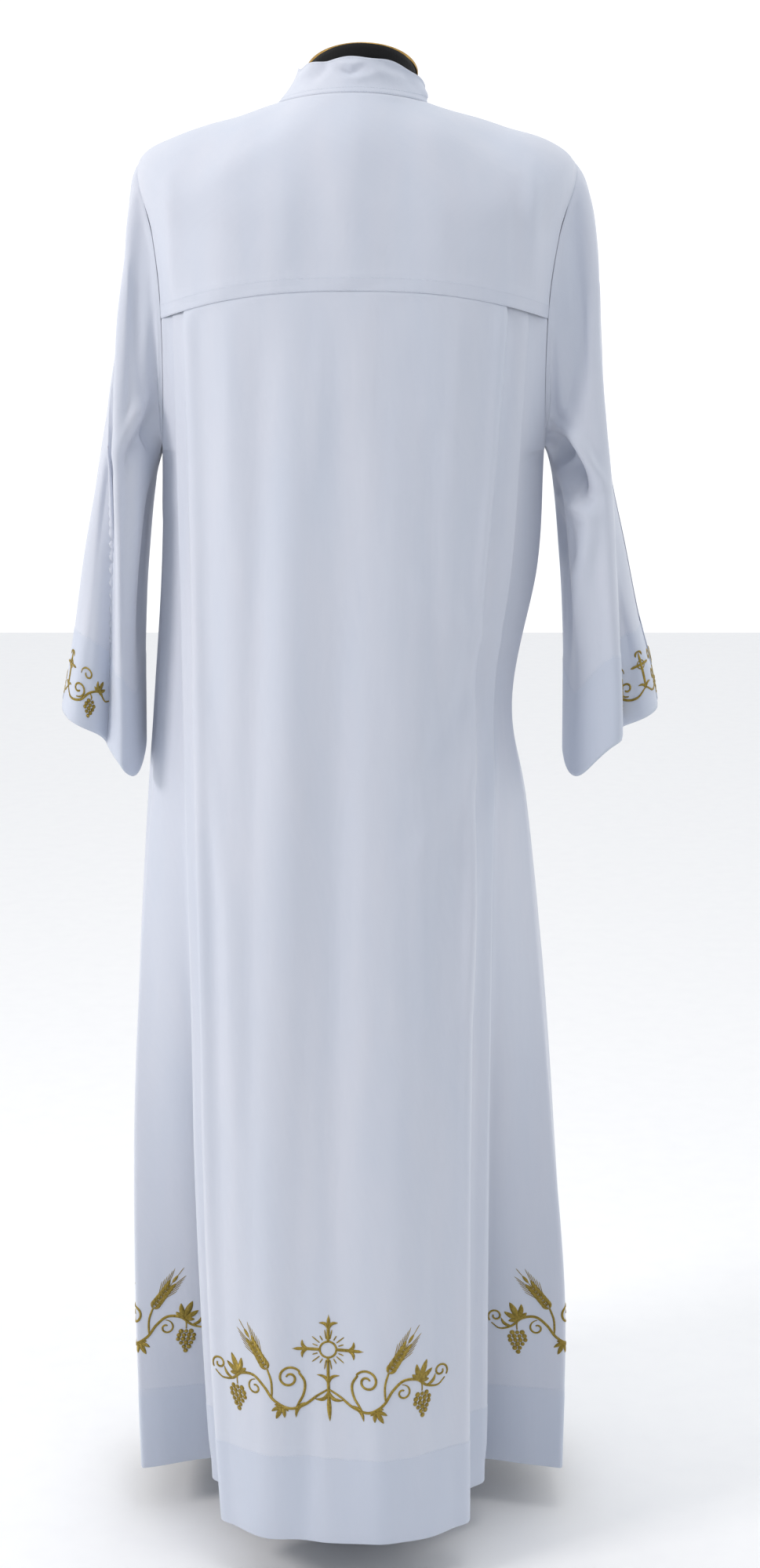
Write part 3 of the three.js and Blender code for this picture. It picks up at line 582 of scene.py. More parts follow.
# The sewn edges of each piece: left, right, top and bottom. A seam holds the cloth still this near to it.
SEAMS = {"back_panel": "LRT", "back_yoke": "LRTB", "front_left": "LT", "front_right": "RT",
         "sleeve_left": "T", "sleeve_right": "T", "collar_band": "B", "front_placket": ""}
SEAM_HOLDS = 0.012


def edge_distances(points):
    """Cloth between each point and the left, right, bottom and top edges of its piece."""
    s, t = lengths(points)
    return {"L": s, "R": s[:, -1:] - s, "B": t, "T": t[-1:] - t}


cloth = {}
for name, points in base.items():
    far = edge_distances(points)
    held = np.ones(points.shape[:2])
    for edge in SEAMS[name]:
        held = held * smooth(far[edge] / SEAM_HOLDS)
    cloth[name] = crease(points, grid_normals(points), CREASES[name], held)
    print(name, len(CREASES[name]), "creases")

# %% [markdown]
# ### Pressed seams and folded edges
# At a seam both pieces roll into a shallow groove. The hem and the cuffs are folded to the inside, so they
# are two layers thick and end in a low step, and the yoke's seam allowance is pressed upwards under the yoke.

# %% Press the seams
YOKE_FOLD = 0.0145  # the yoke's pressed seam allowance
TURNED_UP = {"back_panel": HEM, "front_left": HEM, "front_right": HEM, "back_yoke": YOKE_FOLD,
             "sleeve_left": CUFF, "sleeve_right": CUFF, "collar_band": 0, "front_placket": 0}
GROOVE_DEPTH, GROOVE_WIDE = 0.0005, 0.0014
STEP_HEIGHT, STEP_WIDE = 0.0004, 0.0018
EDGE_DEPTH, EDGE_WIDE = 0.0006, 0.0009
PUCKER_FOLD, PUCKER_SEAM = 0.006, 0.007
double, pucker = {}, {}
for name, points in cloth.items():
    far = edge_distances(points)
    deep = TURNED_UP[name]
    double[name] = smooth((deep - far["B"]) / STEP_WIDE) if deep else np.zeros(far["B"].shape)
    pucker[name] = bell(far["B"], deep, PUCKER_FOLD) if deep else np.zeros(far["B"].shape)
    rise = STEP_HEIGHT * double[name]
    for edge in SEAMS[name]:
        rise = rise - GROOVE_DEPTH * bell(far[edge], 0, GROOVE_WIDE)
        pucker[name] = np.maximum(pucker[name], bell(far[edge], 0, PUCKER_SEAM))
    if name != "back_yoke" and deep:
        rise = rise - EDGE_DEPTH * bell(far["B"], 0, EDGE_WIDE)
    cloth[name] = points + grid_normals(points) * rise[..., None]
    print(name, "double cloth on", round(100 * float(double[name].mean())), "% of its grid")

# %% Make a shell of each piece
def add_object(name, data):
    """An object in the scene, from a mesh, a camera, a light or what bmesh has built."""
    if isinstance(data, bmesh.types.BMesh):
        built, data = data, bpy.data.meshes.new(name)
        built.to_mesh(data)
        built.free()
    obj = bpy.data.objects.new(name, data)
    bpy.context.collection.objects.link(obj)
    return obj


def dress(obj, node, whole=True):
    """The piece hangs from the root and, where it is the whole node, stands for its solid."""
    if whole:
        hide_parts(node)
    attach(obj, "root")
    return obj


def add_shell(name, points):
    """A sheet laid on a grid of points, given its thickness inwards. Folded cloth is twice as thick."""
    rows, cols = points.shape[:2]
    bm = bmesh.new()
    bmesh.ops.create_grid(bm, x_segments=cols - 1, y_segments=rows - 1, size=0.5)
    s, t = lengths(points)
    uv = bm.loops.layers.uv.new("cut")
    layers = bm.verts.layers.deform.verify()
    fold_layer = bm.verts.layers.float.new("double")
    pucker_layer = bm.verts.layers.float.new("pucker")
    place = {}
    for v in bm.verts:
        c, r = round((v.co.x + 0.5) * (cols - 1)), round((v.co.y + 0.5) * (rows - 1))
        place[v] = (r, c)
        v.co = Vector(points[r, c])
        folded = float(double[name][r, c])
        v[layers][0] = mix(SHELL / FOLDED, 1, folded)
        v[fold_layer], v[pucker_layer] = folded, float(pucker[name][r, c])
    for face in bm.faces:
        for loop in face.loops:
            loop[uv].uv = s[place[loop.vert]], t[place[loop.vert]]
        face.smooth = True
    if name.startswith("sleeve"):
        seam = [v for v in bm.verts if place[v][1] in (0, cols - 1)]
        bmesh.ops.remove_doubles(bm, verts=seam, dist=1e-6)
    bmesh.ops.reverse_faces(bm, faces=bm.faces)
    obj = add_object(name + "_cloth", bm)
    obj.vertex_groups.new(name="layers")
    shell = obj.modifiers.new("thickness", "SOLIDIFY")
    shell.thickness, shell.offset, shell.vertex_group = FOLDED, -1, "layers"
    return dress(obj, name)


shells = {name: add_shell(name, points) for name, points in cloth.items()}
for name, obj in shells.items():
    area = sum(face.area for face in obj.data.polygons)
    s, t = lengths(cloth[name])
    print(f"{name}: {area:.3f} m2, up to {s[:, -1].max():.3f} x {t[-1].max():.3f} m")

# %% [markdown]
# ## Sewing
# Every seam and folded edge has its line of small stitches. A stitch is a short rounded thread that dips into
# the cloth at both ends.

# %% Sew the seams
THREAD = 0.00028
PITCH, STITCH = 0.0031, 0.0024
BESIDE = 0.0012
# Each line of stitches: how far it lies above the lower edge, or beside the first column where it is upright.
# A negative distance counts from the upper edge, or from the last column.
HEM_LINE, CUFF_LINE = [("level", HEM - BESIDE)], [("level", CUFF - BESIDE)]
SEWN = {
    "back_panel": HEM_LINE,
    "front_left": HEM_LINE,
    "front_right": HEM_LINE,
    "back_yoke": [("level", BESIDE), ("level", 0.0130), ("upright", 0.0016), ("upright", -0.0016)],
    "sleeve_left": CUFF_LINE,
    "sleeve_right": CUFF_LINE,
    "collar_band": [("level", 0.0016), ("level", 0.0062), ("level", -0.0016)],
    "front_placket": [("upright", 0.0016), ("upright", -0.0016)],
}


def sewn_line(points, values, way, place):
    """Values along one line of stitches."""
    if way == "upright":
        points, values = points.transpose(1, 0, 2), values.transpose(1, 0, 2)
    t = lengths(points)[1]
    at = np.full(t.shape[1], place) if place > 0 else t[-1] + place
    return np.array([follow(at[c], t[:, c], values[:, c]) for c in range(t.shape[1])])


def stitches(name):
    """The first and last point of every stitch of a piece, and the way out of the cloth at its middle."""
    points = cloth[name]
    normals = grid_normals(points)
    found = []
    for way, place in SEWN[name]:
        line, out = sewn_line(points, points, way, place), sewn_line(points, normals, way, place)
        run = run_along(line)
        starts = np.arange(0.002, run[-1] - STITCH, PITCH)
        found.append([follow(starts, run, line), follow(starts + STITCH, run, line),
                      follow(starts + STITCH / 2, run, out)])
    return [np.concatenate(part) for part in zip(*found)]


def smooth_mesh(name, points, faces):
    mesh = bpy.data.meshes.new(name)
    mesh.from_pydata(points.tolist(), [], faces)
    mesh.polygons.foreach_set("use_smooth", [True] * len(faces))
    return mesh


def thread_mesh(name, ends):
    """All the stitches of one piece, as one mesh: three small rings and two tips to a stitch."""
    first, last, out = ends
    along = last - first
    across = np.cross(along, out)
    across /= np.linalg.norm(across, axis=1, keepdims=True)
    rings = [first - out * THREAD * 0.5]
    for share, thick, lifted in ((0.14, 0.75, 0.1), (0.5, 1, 0.55), (0.86, 0.75, 0.1)):
        middle = first + along * share + out * THREAD * lifted
        rings += [middle + across * THREAD * thick, middle + out * THREAD * thick * 0.8,
                  middle - across * THREAD * thick, middle - out * THREAD * thick * 0.8]
    rings.append(last - out * THREAD * 0.5)
    faces = [(0, 1 + k, 1 + (k + 1) % 4) for k in range(4)]
    for ring in (1, 5):
        faces += [(ring + k, ring + 4 + k, ring + 4 + (k + 1) % 4, ring + (k + 1) % 4) for k in range(4)]
    faces += [(13, 9 + (k + 1) % 4, 9 + k) for k in range(4)]
    per = len(rings)
    every = [tuple(i + n * per for i in face) for n in range(len(first)) for face in faces]
    return add_object(name, smooth_mesh(name, np.stack(rings, axis=1).reshape(-1, 3), every))


sewing = {}
for name in SEWN:
    ends = stitches(name)
    sewing[name] = dress(thread_mesh(name + "_stitches", ends), name, whole=False)
    print(name, len(ends[0]), "stitches")

# %% [markdown]
# ## The embroidery
# Gold satin stitch stands a little above the cloth. Each motif is drawn flat in millimetres and then laid on
# a patch of the hanging surface. The hem's motif is a cross with a ring of rays over two vine waves, which
# carry leaves, curling tendrils, ears of wheat and bunches of grapes. One half is drawn, and the other
# mirrors it.

# %% Find a patch of the cloth to work on
STEP = 0.001


def across_seam(first, second, count):
    """Two neighbouring pieces side by side, as one surface, with so many columns of each."""
    rows = min(len(first), len(second))
    return np.concatenate([first[:rows, -count:], second[:rows, :count]], axis=1)


def patch(points, column, half, low, high):
    """A regular patch of the surface round a column: points and normals at every millimetre of cloth."""
    s, t = lengths(points)
    s = s - s[:, column:column + 1]
    across = np.arange(-half, half + STEP, STEP)
    up = np.arange(low, high + STEP, STEP)
    lines = []
    for row in np.interp(up, t[:, column], np.arange(len(t))):
        r = min(int(row), len(t) - 2)
        share = row - r
        lines.append(follow(across, s[r] * (1 - share) + s[r + 1] * share,
                            points[r] * (1 - share) + points[r + 1] * share))
    found = np.array(lines)
    return {"points": found, "normals": grid_normals(found), "left": across[0], "low": up[0]}


def lift(area, x, y, height):
    """Points at x, y and height in metres over a patch."""
    c = np.clip((x - area["left"]) / STEP, 0, area["points"].shape[1] - 1.001)
    r = np.clip((y - area["low"]) / STEP, 0, area["points"].shape[0] - 1.001)
    i, j = np.floor(r).astype(int), np.floor(c).astype(int)
    u, v = (r - i)[..., None], (c - j)[..., None]

    def between(grid):
        return ((grid[i, j] * (1 - v) + grid[i, j + 1] * v) * (1 - u)
                + (grid[i + 1, j] * (1 - v) + grid[i + 1, j + 1] * v) * u)

    return between(area["points"]) + between(area["normals"]) * np.asarray(height)[..., None]


# %% Draw threads
SATIN = 0.0011
SECTION = np.array([-1, -0.72, -0.3, 0.3, 0.72, 1])
TAPER = 0.22
AWN = (0.9, (0.8, 0.4))


def curve(points):
    """A smooth line through a few points, with a point at every millimetre."""
    p = np.array(points, float)
    many = np.linspace(0, len(p) - 1, 40 * len(p))
    fine = np.stack([read(p[:, 0], many), read(p[:, 1], many)], -1)
    run = run_along(fine)
    return follow(np.linspace(0, run[-1], max(4, int(run[-1]))), run, fine)


def spiral(x, y, start, turns, wide, narrow):
    """A curl round x, y: from an angle in degrees, through so many turns, its radius shrinking."""
    count = max(8, int(abs(turns) * math.pi * (wide + narrow)))
    a = np.radians(start) + np.linspace(0, turns * math.tau, count)
    radius = narrow + (wide - narrow) * (1 - np.linspace(0, 1, count)) ** 1.2
    return np.stack([x + radius * np.cos(a), y + radius * np.sin(a)], -1)


def strand(line, wide, ends=(0.35, 0.35)):
    """A satin stitched line: its points and half width, tapered at its two ends."""
    share = np.linspace(0, 1, len(line))
    first, last = (end + (1 - end) * smooth(part / TAPER) for end, part in zip(ends, (share, 1 - share)))
    return line, wide / 2 * np.minimum(first, last)


def stem(points, wide, ends):
    return strand(curve(points), wide, ends)


def leaf(base, tip, wide, bend=0.0):
    """A pointed leaf or grain, widest a little below its middle."""
    a, b = np.array(base, float), np.array(tip, float)
    share = np.linspace(0, 1, max(6, int(np.hypot(*(b - a)) / 0.9)))
    side = np.array([-(b - a)[1], (b - a)[0]])
    line = a + (b - a) * share[:, None] + side * (bend * np.sin(np.pi * share))[:, None]
    return line, wide / 2 * (np.sin(np.pi * np.clip(share * 0.94 + 0.05, 0, 1)) ** 0.8) + 0.12


def wheat(base, tip, pairs=8):
    """An ear of wheat: pairs of grains up a stalk, each with its awn, and one grain at the tip."""
    a, b = np.array(base, float), np.array(tip, float)
    along = (b - a) / np.hypot(*(b - a))
    side = np.array([-along[1], along[0]])
    parts = [strand(np.linspace(a, b, 30), 1.3)]
    for k in range(pairs):
        root = a + (b - a) * (k / pairs) * 0.86
        for hand in (-1, 1):
            out = along * 9.2 + side * hand * (4.8 - 0.16 * k)
            parts.append(leaf(root + side * hand * 0.6, root + out, 3.6, 0.1 * hand))
            if k > 1:
                far = root + out + along * 14 + side * hand * (6.4 - 0.35 * k)
                parts.append(strand(np.linspace(root + out, far, 12), *AWN))
    return parts + [leaf(b - along * 2, b + along * 9, 3.4),
                    strand(np.linspace(b + along * 8, b + along * 20, 10), *AWN)]


def vine_leaf(base, angle, size):
    """Five pointed lobes fanned out from a stem: how far each is turned, its length and its width."""
    parts = []
    for turn, share, wide in ((0, 1.0, 0.34), (38, 0.82, 0.28), (-38, 0.82, 0.28), (80, 0.55, 0.24),
                              (-80, 0.55, 0.24)):
        a = math.radians(angle + turn)
        tip = np.array(base, float) + size * share * np.array([math.cos(a), math.sin(a)])
        parts.append(leaf(base, tip, size * wide, 0.06 * np.sign(turn)))
    return parts


def grapes(x, y, rows, radius):
    """A hanging bunch: the centres of its grapes, row by row."""
    return [(x + (i - (count - 1) / 2) * radius * 1.9 + 0.5 * math.sin(k * 2.1), y - k * radius * 1.62,
             radius * (0.94 + 0.1 * math.cos(3.1 * i + k)))
            for k, count in enumerate(rows) for i in range(count)]


# %% Draw the two motifs
CROSS_Y = 45


def hem_motif():
    """Half of the hem motif, and the pieces on its middle line. 0, 0 is the foot of the cross."""
    y = CROSS_Y
    middle = [stem([(0, -26), (0, 16), (0, y - 9)], 3.4, (0.15, 0.9)),
              stem([(0, y + 9), (0, y + 24), (0, y + 38)], 3.6, (0.9, 0.1)),
              leaf((0, -4), (0, -33), 4.8)]
    half = [stem([(9, y), (22, y), (38, y)], 3.6, (0.9, 0.1)),
            leaf((20, y), (27, y + 10), 3.6, -0.25), leaf((20, y), (27, y - 10), 3.6, 0.25),
            leaf((0, y + 21), (10, y + 29), 3.6, 0.25), leaf((0, 0), (15, -10), 4.0, -0.25),
            leaf((0, 6), (12, 17), 3.4, 0.25), strand(spiral(0, y, -90, 0.5, 8.6, 8.6), 2.4, (1, 1))]
    for k in range(9):
        a = math.radians(-80 + 20 * k)
        near, far = 11.5, (17.5 if k % 2 else 22.0)
        ray = np.array([math.cos(a), math.sin(a)])
        if abs(ray[1]) > 0.2:
            half.append(strand(np.linspace(ray * near, ray * far, 8) + (0, y), 1.5, (0.9, 0.4)))
    half += [
        stem([(0, 2), (12, -6), (26, -17), (42, -21), (58, -12), (68, 2), (80, 12), (95, 11), (107, 2),
              (120, -1), (129, 6)], 3.2, (0.7, 0.5)),
        stem([(36, -21), (27, -6), (25, 8), (31, 19)], 2.9, (0.4, 0.9)),
        strand(spiral(41, 12.5, 150, -1.35, 13, 3.4), 2.8, (0.9, 0.8)),
        strand(spiral(124, 14, -40, 1.2, 8.5, 2.4), 2.4, (0.9, 0.8)),
        strand(spiral(79, -1, 95, -1.1, 9, 2.6), 2.3, (0.5, 0.8)),
        stem([(60, -10), (60, 8), (64, 22)], 2.5, (0.5, 0.9)),
        *wheat((64, 22), (86, 54)), *vine_leaf((99, 11), 66, 21), *vine_leaf((50, -19), -62, 15),
        stem([(99, 10), (101, 4), (101, -3)], 1.8, (0.6, 0.9)),
        leaf((22, -15), (36, -31), 4.6, 0.22), leaf((107, 2), (118, 12), 3.6, -0.2)]
    return middle, half, grapes(101, -6, (3, 4, 4, 3, 2, 1), 2.9)


def cuff_motif():
    """A small cross over a vine, with a bunch of grapes and a leaf at each side."""
    middle = [stem([(0, -18), (0, 6), (0, 24)], 3.0, (0.3, 0.3))]
    half = [stem([(0, 9), (7, 9), (13, 9)], 3.0, (0.9, 0.3)), leaf((0, 24), (4, 18), 2.4, 0.2),
            leaf((0, -18), (9, -12), 2.6, 0.25), strand(spiral(0, 9, -90, 0.5, 4.6, 4.6), 1.3, (1, 1)),
            stem([(0, -16), (12, -24), (26, -21), (36, -8), (48, -3), (60, -9), (68, -4)], 2.7, (0.7, 0.5)),
            strand(spiral(22, -10, -95, 1.2, 9, 2.2), 2.3, (0.7, 0.8)),
            strand(spiral(29, 10, 200, -1.1, 8, 2.2), 2.1, (0.5, 0.8)), *vine_leaf((47, -3), 70, 15),
            stem([(36, -8), (39, -12), (39, -15)], 1.9, (0.7, 0.9))]
    return middle, half, grapes(39, -17, (2, 3, 3, 2, 1), 2.5)


# %% Work the motifs on the cloth
GRAPE = 0.0013  # how high a grape stands
BURIED = (0.00008, 0.00005)  # how deep the edges of a strand and of a grape lie in the cloth


def embroider(name, node, area, motif, foot, scale=1.0):
    """One motif as one mesh of raised threads, with its foot so high up the patch, in metres."""
    middle, half, bunch = motif
    strands = middle + half + [(line * (-1, 1), wide) for line, wide in half]
    beads = bunch + [(-x, y, r) for x, y, r in bunch]
    points, faces, uvs = [], [], []

    def grid(surface, along, across, closed):
        start = sum(len(part) for part in points)
        n, m = surface.shape[:2]
        points.append(surface.reshape(-1, 3))
        for i in range(n - 1):
            for j in range(m if closed else m - 1):
                low, high = start + i * m, start + (i + 1) * m
                k = (j + 1) % m
                faces.append((low + j, low + k, high + k, high + j))
                at, past = across[j], across[j] + 0.1
                uvs.extend([(at, along[i]), (past, along[i]), (past, along[i + 1]), (at, along[i + 1])])

    for line, wide in strands:
        line, wide = line * scale / 1000, wide * scale / 1000
        d = np.gradient(line, axis=0)
        d /= np.linalg.norm(d, axis=1, keepdims=True) + 1e-12
        side = np.stack([-d[:, 1], d[:, 0]], -1)
        flat = line[:, None] + side[:, None] * (SECTION[None, :, None] * wide[:, None, None])
        raised = np.minimum(SATIN, 0.25 * SATIN + 0.55 * wide)[:, None] * np.sqrt(1 - SECTION**2 * 0.999)
        raised[[0, -1]] *= 0.25
        top = lift(area, flat[..., 0], flat[..., 1] + foot, raised - BURIED[0])
        grid(top, run_along(line), SECTION, False)
    turn = np.radians(np.arange(10) * 36)
    for x, y, radius in beads:
        rings = []
        for share in (1.0, 0.86, 0.5, 0.04):
            r = radius * scale / 1000 * share
            high = GRAPE * scale * math.sqrt(1.0001 - share**2) - BURIED[1]
            rings.append(lift(area, x * scale / 1000 - r * np.cos(turn),
                              y * scale / 1000 + foot + r * np.sin(turn), np.full(10, high)))
        grid(np.array(rings), np.array([0, 0.0008, 0.0016, 0.0024]) * 1.3, turn, True)
    mesh = smooth_mesh(name, np.concatenate(points), faces)
    mesh.uv_layers.new(name="thread").data.foreach_set("uv", np.array(uvs).ravel())
    print(name, len(faces), "faces,", len(strands), "strands,", len(beads), "grapes")
    return dress(add_object(name, mesh), node, whole=False)


back, left, right = cloth["back_panel"], cloth["front_left"], cloth["front_right"]
FOOT = 0.168
motifs = {}
for name, node, surface, column in (
        ("hem_back", "back_panel", back, int(np.argmin(np.abs(back[0, :, 0] - 0.014)))),
        ("hem_left", "front_left", across_seam(back, left, 60), 60),
        ("hem_right", "front_right", across_seam(right, back, 60), 60),
        ("hem_front", "front_left", across_seam(left, right, 70), 70)):
    area = patch(surface, column, 0.15, 0.10, 0.30)
    motifs[name] = embroider("embroidery_" + name, node, area, hem_motif(), FOOT)
for side, column in (("left", SLEEVE_COLS - 15), ("right", 15)):
    node = "sleeve_" + side
    rolled = np.roll(cloth[node][:, :-1], 90 - column, axis=1)
    area = patch(rolled, 90, 0.085, 0.005, 0.085)
    motifs["cuff_" + side] = embroider("embroidery_cuff_" + side, node, area, cuff_motif(), 0.046, 0.95)

# %% [markdown]
# ## The dress form and its stand
# The form is a padded torso with a black jersey cover and no arms. It ends in a sloping wooden neck cap with
# a thin gilt rim, and it stands on a steel pole and a round plate.

# %% Build the form
NECK = {"radius": 54, "side": -9, "back_top": 1577, "slope": 0.5}
# The torso below the robe: height, half width, and depth behind and in front.
FORM_ROWS = ((935, 148, 102, 94), (1000, 158, 112, 102), (1065, 148, 102, 95), (1130, 138, 92, 90),
             (1210, 152, 103, 106), (1290, 170, 112, 116))
# Under the yoke it follows the robe: the row, and how far below the cloth it lies.
UNDER_CLOTH = ((9.6, 4.3), (9.8, 3.0), (10, 2.8), (10.35, 2.7), (10.7, 2.7), (11.1, 2.7), (11.5, 3.7))
FORM_COLS = 96


def loft(name, rings):
    """A solid from level rings, each running the same way round."""
    bm = bmesh.new()
    loops = []
    for ring in rings:
        circle = bmesh.ops.create_circle(bm, segments=len(ring), radius=1)["verts"]
        for v, p in zip(circle, ring):
            v.co = Vector(p)
        loops.append(circle)
    for low, high in zip(loops, loops[1:]):
        edges = {e for v in low + high for e in v.link_edges if e.other_vert(v) in low + high}
        ring_edges = [e for e in edges if (e.verts[0] in low) == (e.verts[1] in low)]
        bmesh.ops.bridge_loops(bm, edges=ring_edges)
    for loop in (loops[0], loops[-1]):
        bmesh.ops.contextual_create(bm, geom=loop)
    bmesh.ops.recalc_face_normals(bm, faces=bm.faces)
    for face in bm.faces:
        face.smooth = len(face.verts) < 5
    return add_object(name, bm)


def form_rings():
    angle = 180 - np.arange(FORM_COLS) * 360 / FORM_COLS
    a = np.radians(angle)
    rings = []
    table = np.array(FORM_ROWS, float)
    for at in np.linspace(0, len(FORM_ROWS) - 1, 26):
        z, half, back, front = (read(table[:, k], at) for k in range(4))
        deep = np.where(np.cos(a) > 0, back, front)
        x, y = half * power(np.sin(a), 0.9), deep * power(np.cos(a), 0.9)
        rings.append(np.column_stack([x, y, np.full_like(a, z)]))
    rings.append(body_point(angle, ROW["blade"]) * (0.93, 0.96, 1) - (0, 0, 4))
    for row, clear in UNDER_CLOTH:
        across = body_point(angle + 0.5, row) - body_point(angle - 0.5, row)
        up = body_point(angle, min(ROW["neck"], row + 0.04)) - body_point(angle, row - 0.04)
        n = np.cross(up, across)
        rings.append(body_point(angle, row) - n / np.linalg.norm(n, axis=1, keepdims=True) * clear)
    x, y = NECK["radius"] * np.sin(a), NECK["radius"] * np.cos(a)
    foot = body_point(angle, ROW["neck"])[:, 2] - 3
    for up in (0, 0.15, 0.35, 0.55, 0.75, 0.9, 1):
        spread = 1 + 0.16 * (1 - up) ** 2
        top = NECK["back_top"] - NECK["slope"] * (NECK["radius"] - y)
        x_at = x * spread + NECK["side"] * mix(0.5, 1, up)
        rings.append(np.column_stack([x_at, y * spread, mix(foot, top, up)]))
    return [ring / 1000 for ring in rings]


def turned(name, profile, segments=96):
    """A turned piece: a profile of radii and heights in tenths of a millimetre, spun round the Z axis."""
    bm = bmesh.new()
    chain = [bmesh.ops.create_vert(bm, co=(r / 10000, 0, z / 10000))["vert"][0] for r, z in profile]
    edges = [bm.edges.new(pair) for pair in zip(chain, chain[1:])]
    bmesh.ops.spin(bm, geom=chain + edges, cent=(0, 0, 0), axis=(0, 0, 1), angle=math.tau, steps=segments,
                   use_merge=True)
    bmesh.ops.remove_doubles(bm, verts=bm.verts, dist=1e-6)
    bmesh.ops.recalc_face_normals(bm, faces=bm.faces)
    for face in bm.faces:
        face.smooth = True
    obj = add_object(name, bm)
    obj.modifiers.new("edges", "EDGE_SPLIT").split_angle = math.radians(35)
    return obj


def tilt(obj):
    """Lays a turned piece on the sloping neck."""
    slope = math.atan(NECK["slope"])
    z = (NECK["back_top"] - NECK["slope"] * NECK["radius"]) / 1000
    for v in obj.data.vertices:
        x, y, h = v.co
        v.co = (x + NECK["side"] / 1000, y * math.cos(slope) - h * math.sin(slope),
                y * math.sin(slope) + h * math.cos(slope) + z)
    return obj


torso = loft("form_torso_body", form_rings())
wood_cap = tilt(turned("neck_cap_wood", [(0, 5), (530, 5), (530, 40), (518, 52), (460, 62), (0, 78)]))
gilt_rim = tilt(turned("neck_rim", [(531, 4), (554, 4), (560, 14), (560, 28), (554, 38), (531, 40),
                                    (531, 4)]))
plate = turned("stand_plate_disc", [(0, 0), (1160, 0), (1180, 15), (1180, 64), (1160, 84), (1040, 112),
                                    (300, 160), (0, 160)])
pole = turned("stand_pole_tube", [(0, 163), (125, 163), (125, 9347), (0, 9347)], 48)
flange = turned("pole_flange", [(127, 162), (290, 162), (290, 205), (200, 235), (165, 320), (127, 320),
                                (127, 162)], 48)
knob = turned("height_screw", [(0, 0), (40, 0), (40, 150), (110, 160), (120, 180), (120, 250), (100, 270),
                               (0, 275)], 32)
for v in knob.data.vertices:
    x, y, h = v.co
    v.co = (x, -0.0120 - h, 0.86 + y)
for obj, node in ((torso, "form_torso"), (wood_cap, "neck_cap"), (gilt_rim, "neck_cap"),
                  (plate, "stand_plate"), (pole, "stand_pole"), (flange, "stand_plate"),
                  (knob, "stand_pole")):
    dress(obj, node, whole=obj not in (gilt_rim, flange, knob))
    print(obj.name, len(obj.data.polygons), "faces")

# %% [markdown]
# ## Cloth, thread and the form's finishes
# Every finish is worked out from the piece's own cut, its thread or its place, with no pictures.

# %% A small kit for shader nodes
def add_node(tree, kind, inputs=(), **settings):
    """A shader node with its settings. Each input is a value, or the socket that feeds it."""
    made = tree.nodes.new("ShaderNode" + kind)
    for key, value in settings.items():
        setattr(made, key, value)
    for key, value in dict(inputs).items():
        if isinstance(value, bpy.types.NodeSocket):
            tree.links.new(value, made.inputs[key])
        else:
            made.inputs[key].default_value = value
    return made


def blend(tree, share, low, high):
    """A mix of two colours. The numbers are the colour sockets of the mix node."""
    return add_node(tree, "Mix", {0: share, 6: low, 7: high}, data_type="RGBA").outputs[2]


def rgb(red, green, blue):
    """A colour as painters write it, 0 to 255, for the shader."""
    return tuple(((c / 255 + 0.055) / 1.055) ** 2.4 for c in (red, green, blue)) + (1,)


class Finish:
    """A material being made: its shader, and the tools to wire more nodes to it."""

    def __init__(self, name, rough, **sockets):
        self.material = bpy.data.materials.new(name)
        self.material.use_nodes = True
        self.tree = self.material.node_tree
        self.shader = self.tree.nodes["Principled BSDF"]
        for socket, value in {"Roughness": rough, **sockets}.items():
            self.shader.inputs[socket.replace("_", " ")].default_value = value
        self.place = self.node("TexCoord").outputs["Object"]

    def node(self, kind, inputs=(), **settings):
        return add_node(self.tree, kind, inputs, **settings)

    def noise(self, vector, scale, detail, **more):
        inputs = {"Vector": vector, "Scale": scale, "Detail": detail, **more}
        return self.node("TexNoise", inputs).outputs["Fac"]

    def stretch(self, vector, scale):
        return self.node("Mapping", {"Vector": vector, "Scale": scale}).outputs["Vector"]

    def wave(self, vector, pitch, axis):
        """Threads across an axis, one to each pitch in metres."""
        return self.node("TexWave", {"Vector": vector, "Scale": 1 / pitch / 20 * math.tau, "Distortion": 0.0},
                         wave_type="BANDS", bands_direction=axis, wave_profile="SIN").outputs["Fac"]

    def times(self, a, b):
        return self.node("Math", {0: a, 1: b}, operation="MULTIPLY").outputs[0]

    def blend(self, share, low, high):
        return blend(self.tree, share, low, high)

    def cover(self, objects, colour, *layers):
        """Finish the objects. Layers of relief are stacked: each a height, a strength and metres of depth."""
        normal = {}
        for height, strength, distance in layers:
            bump = self.node("Bump", {"Height": height, "Strength": strength, "Distance": distance, **normal})
            normal = {"Normal": bump.outputs["Normal"]}
        for socket, feed in {"Base Color": colour, **normal}.items():
            self.tree.links.new(feed, self.shader.inputs[socket])
        for obj in objects:
            obj.data.materials.append(self.material)


# %% The white cloth
WEAVE = 0.00045

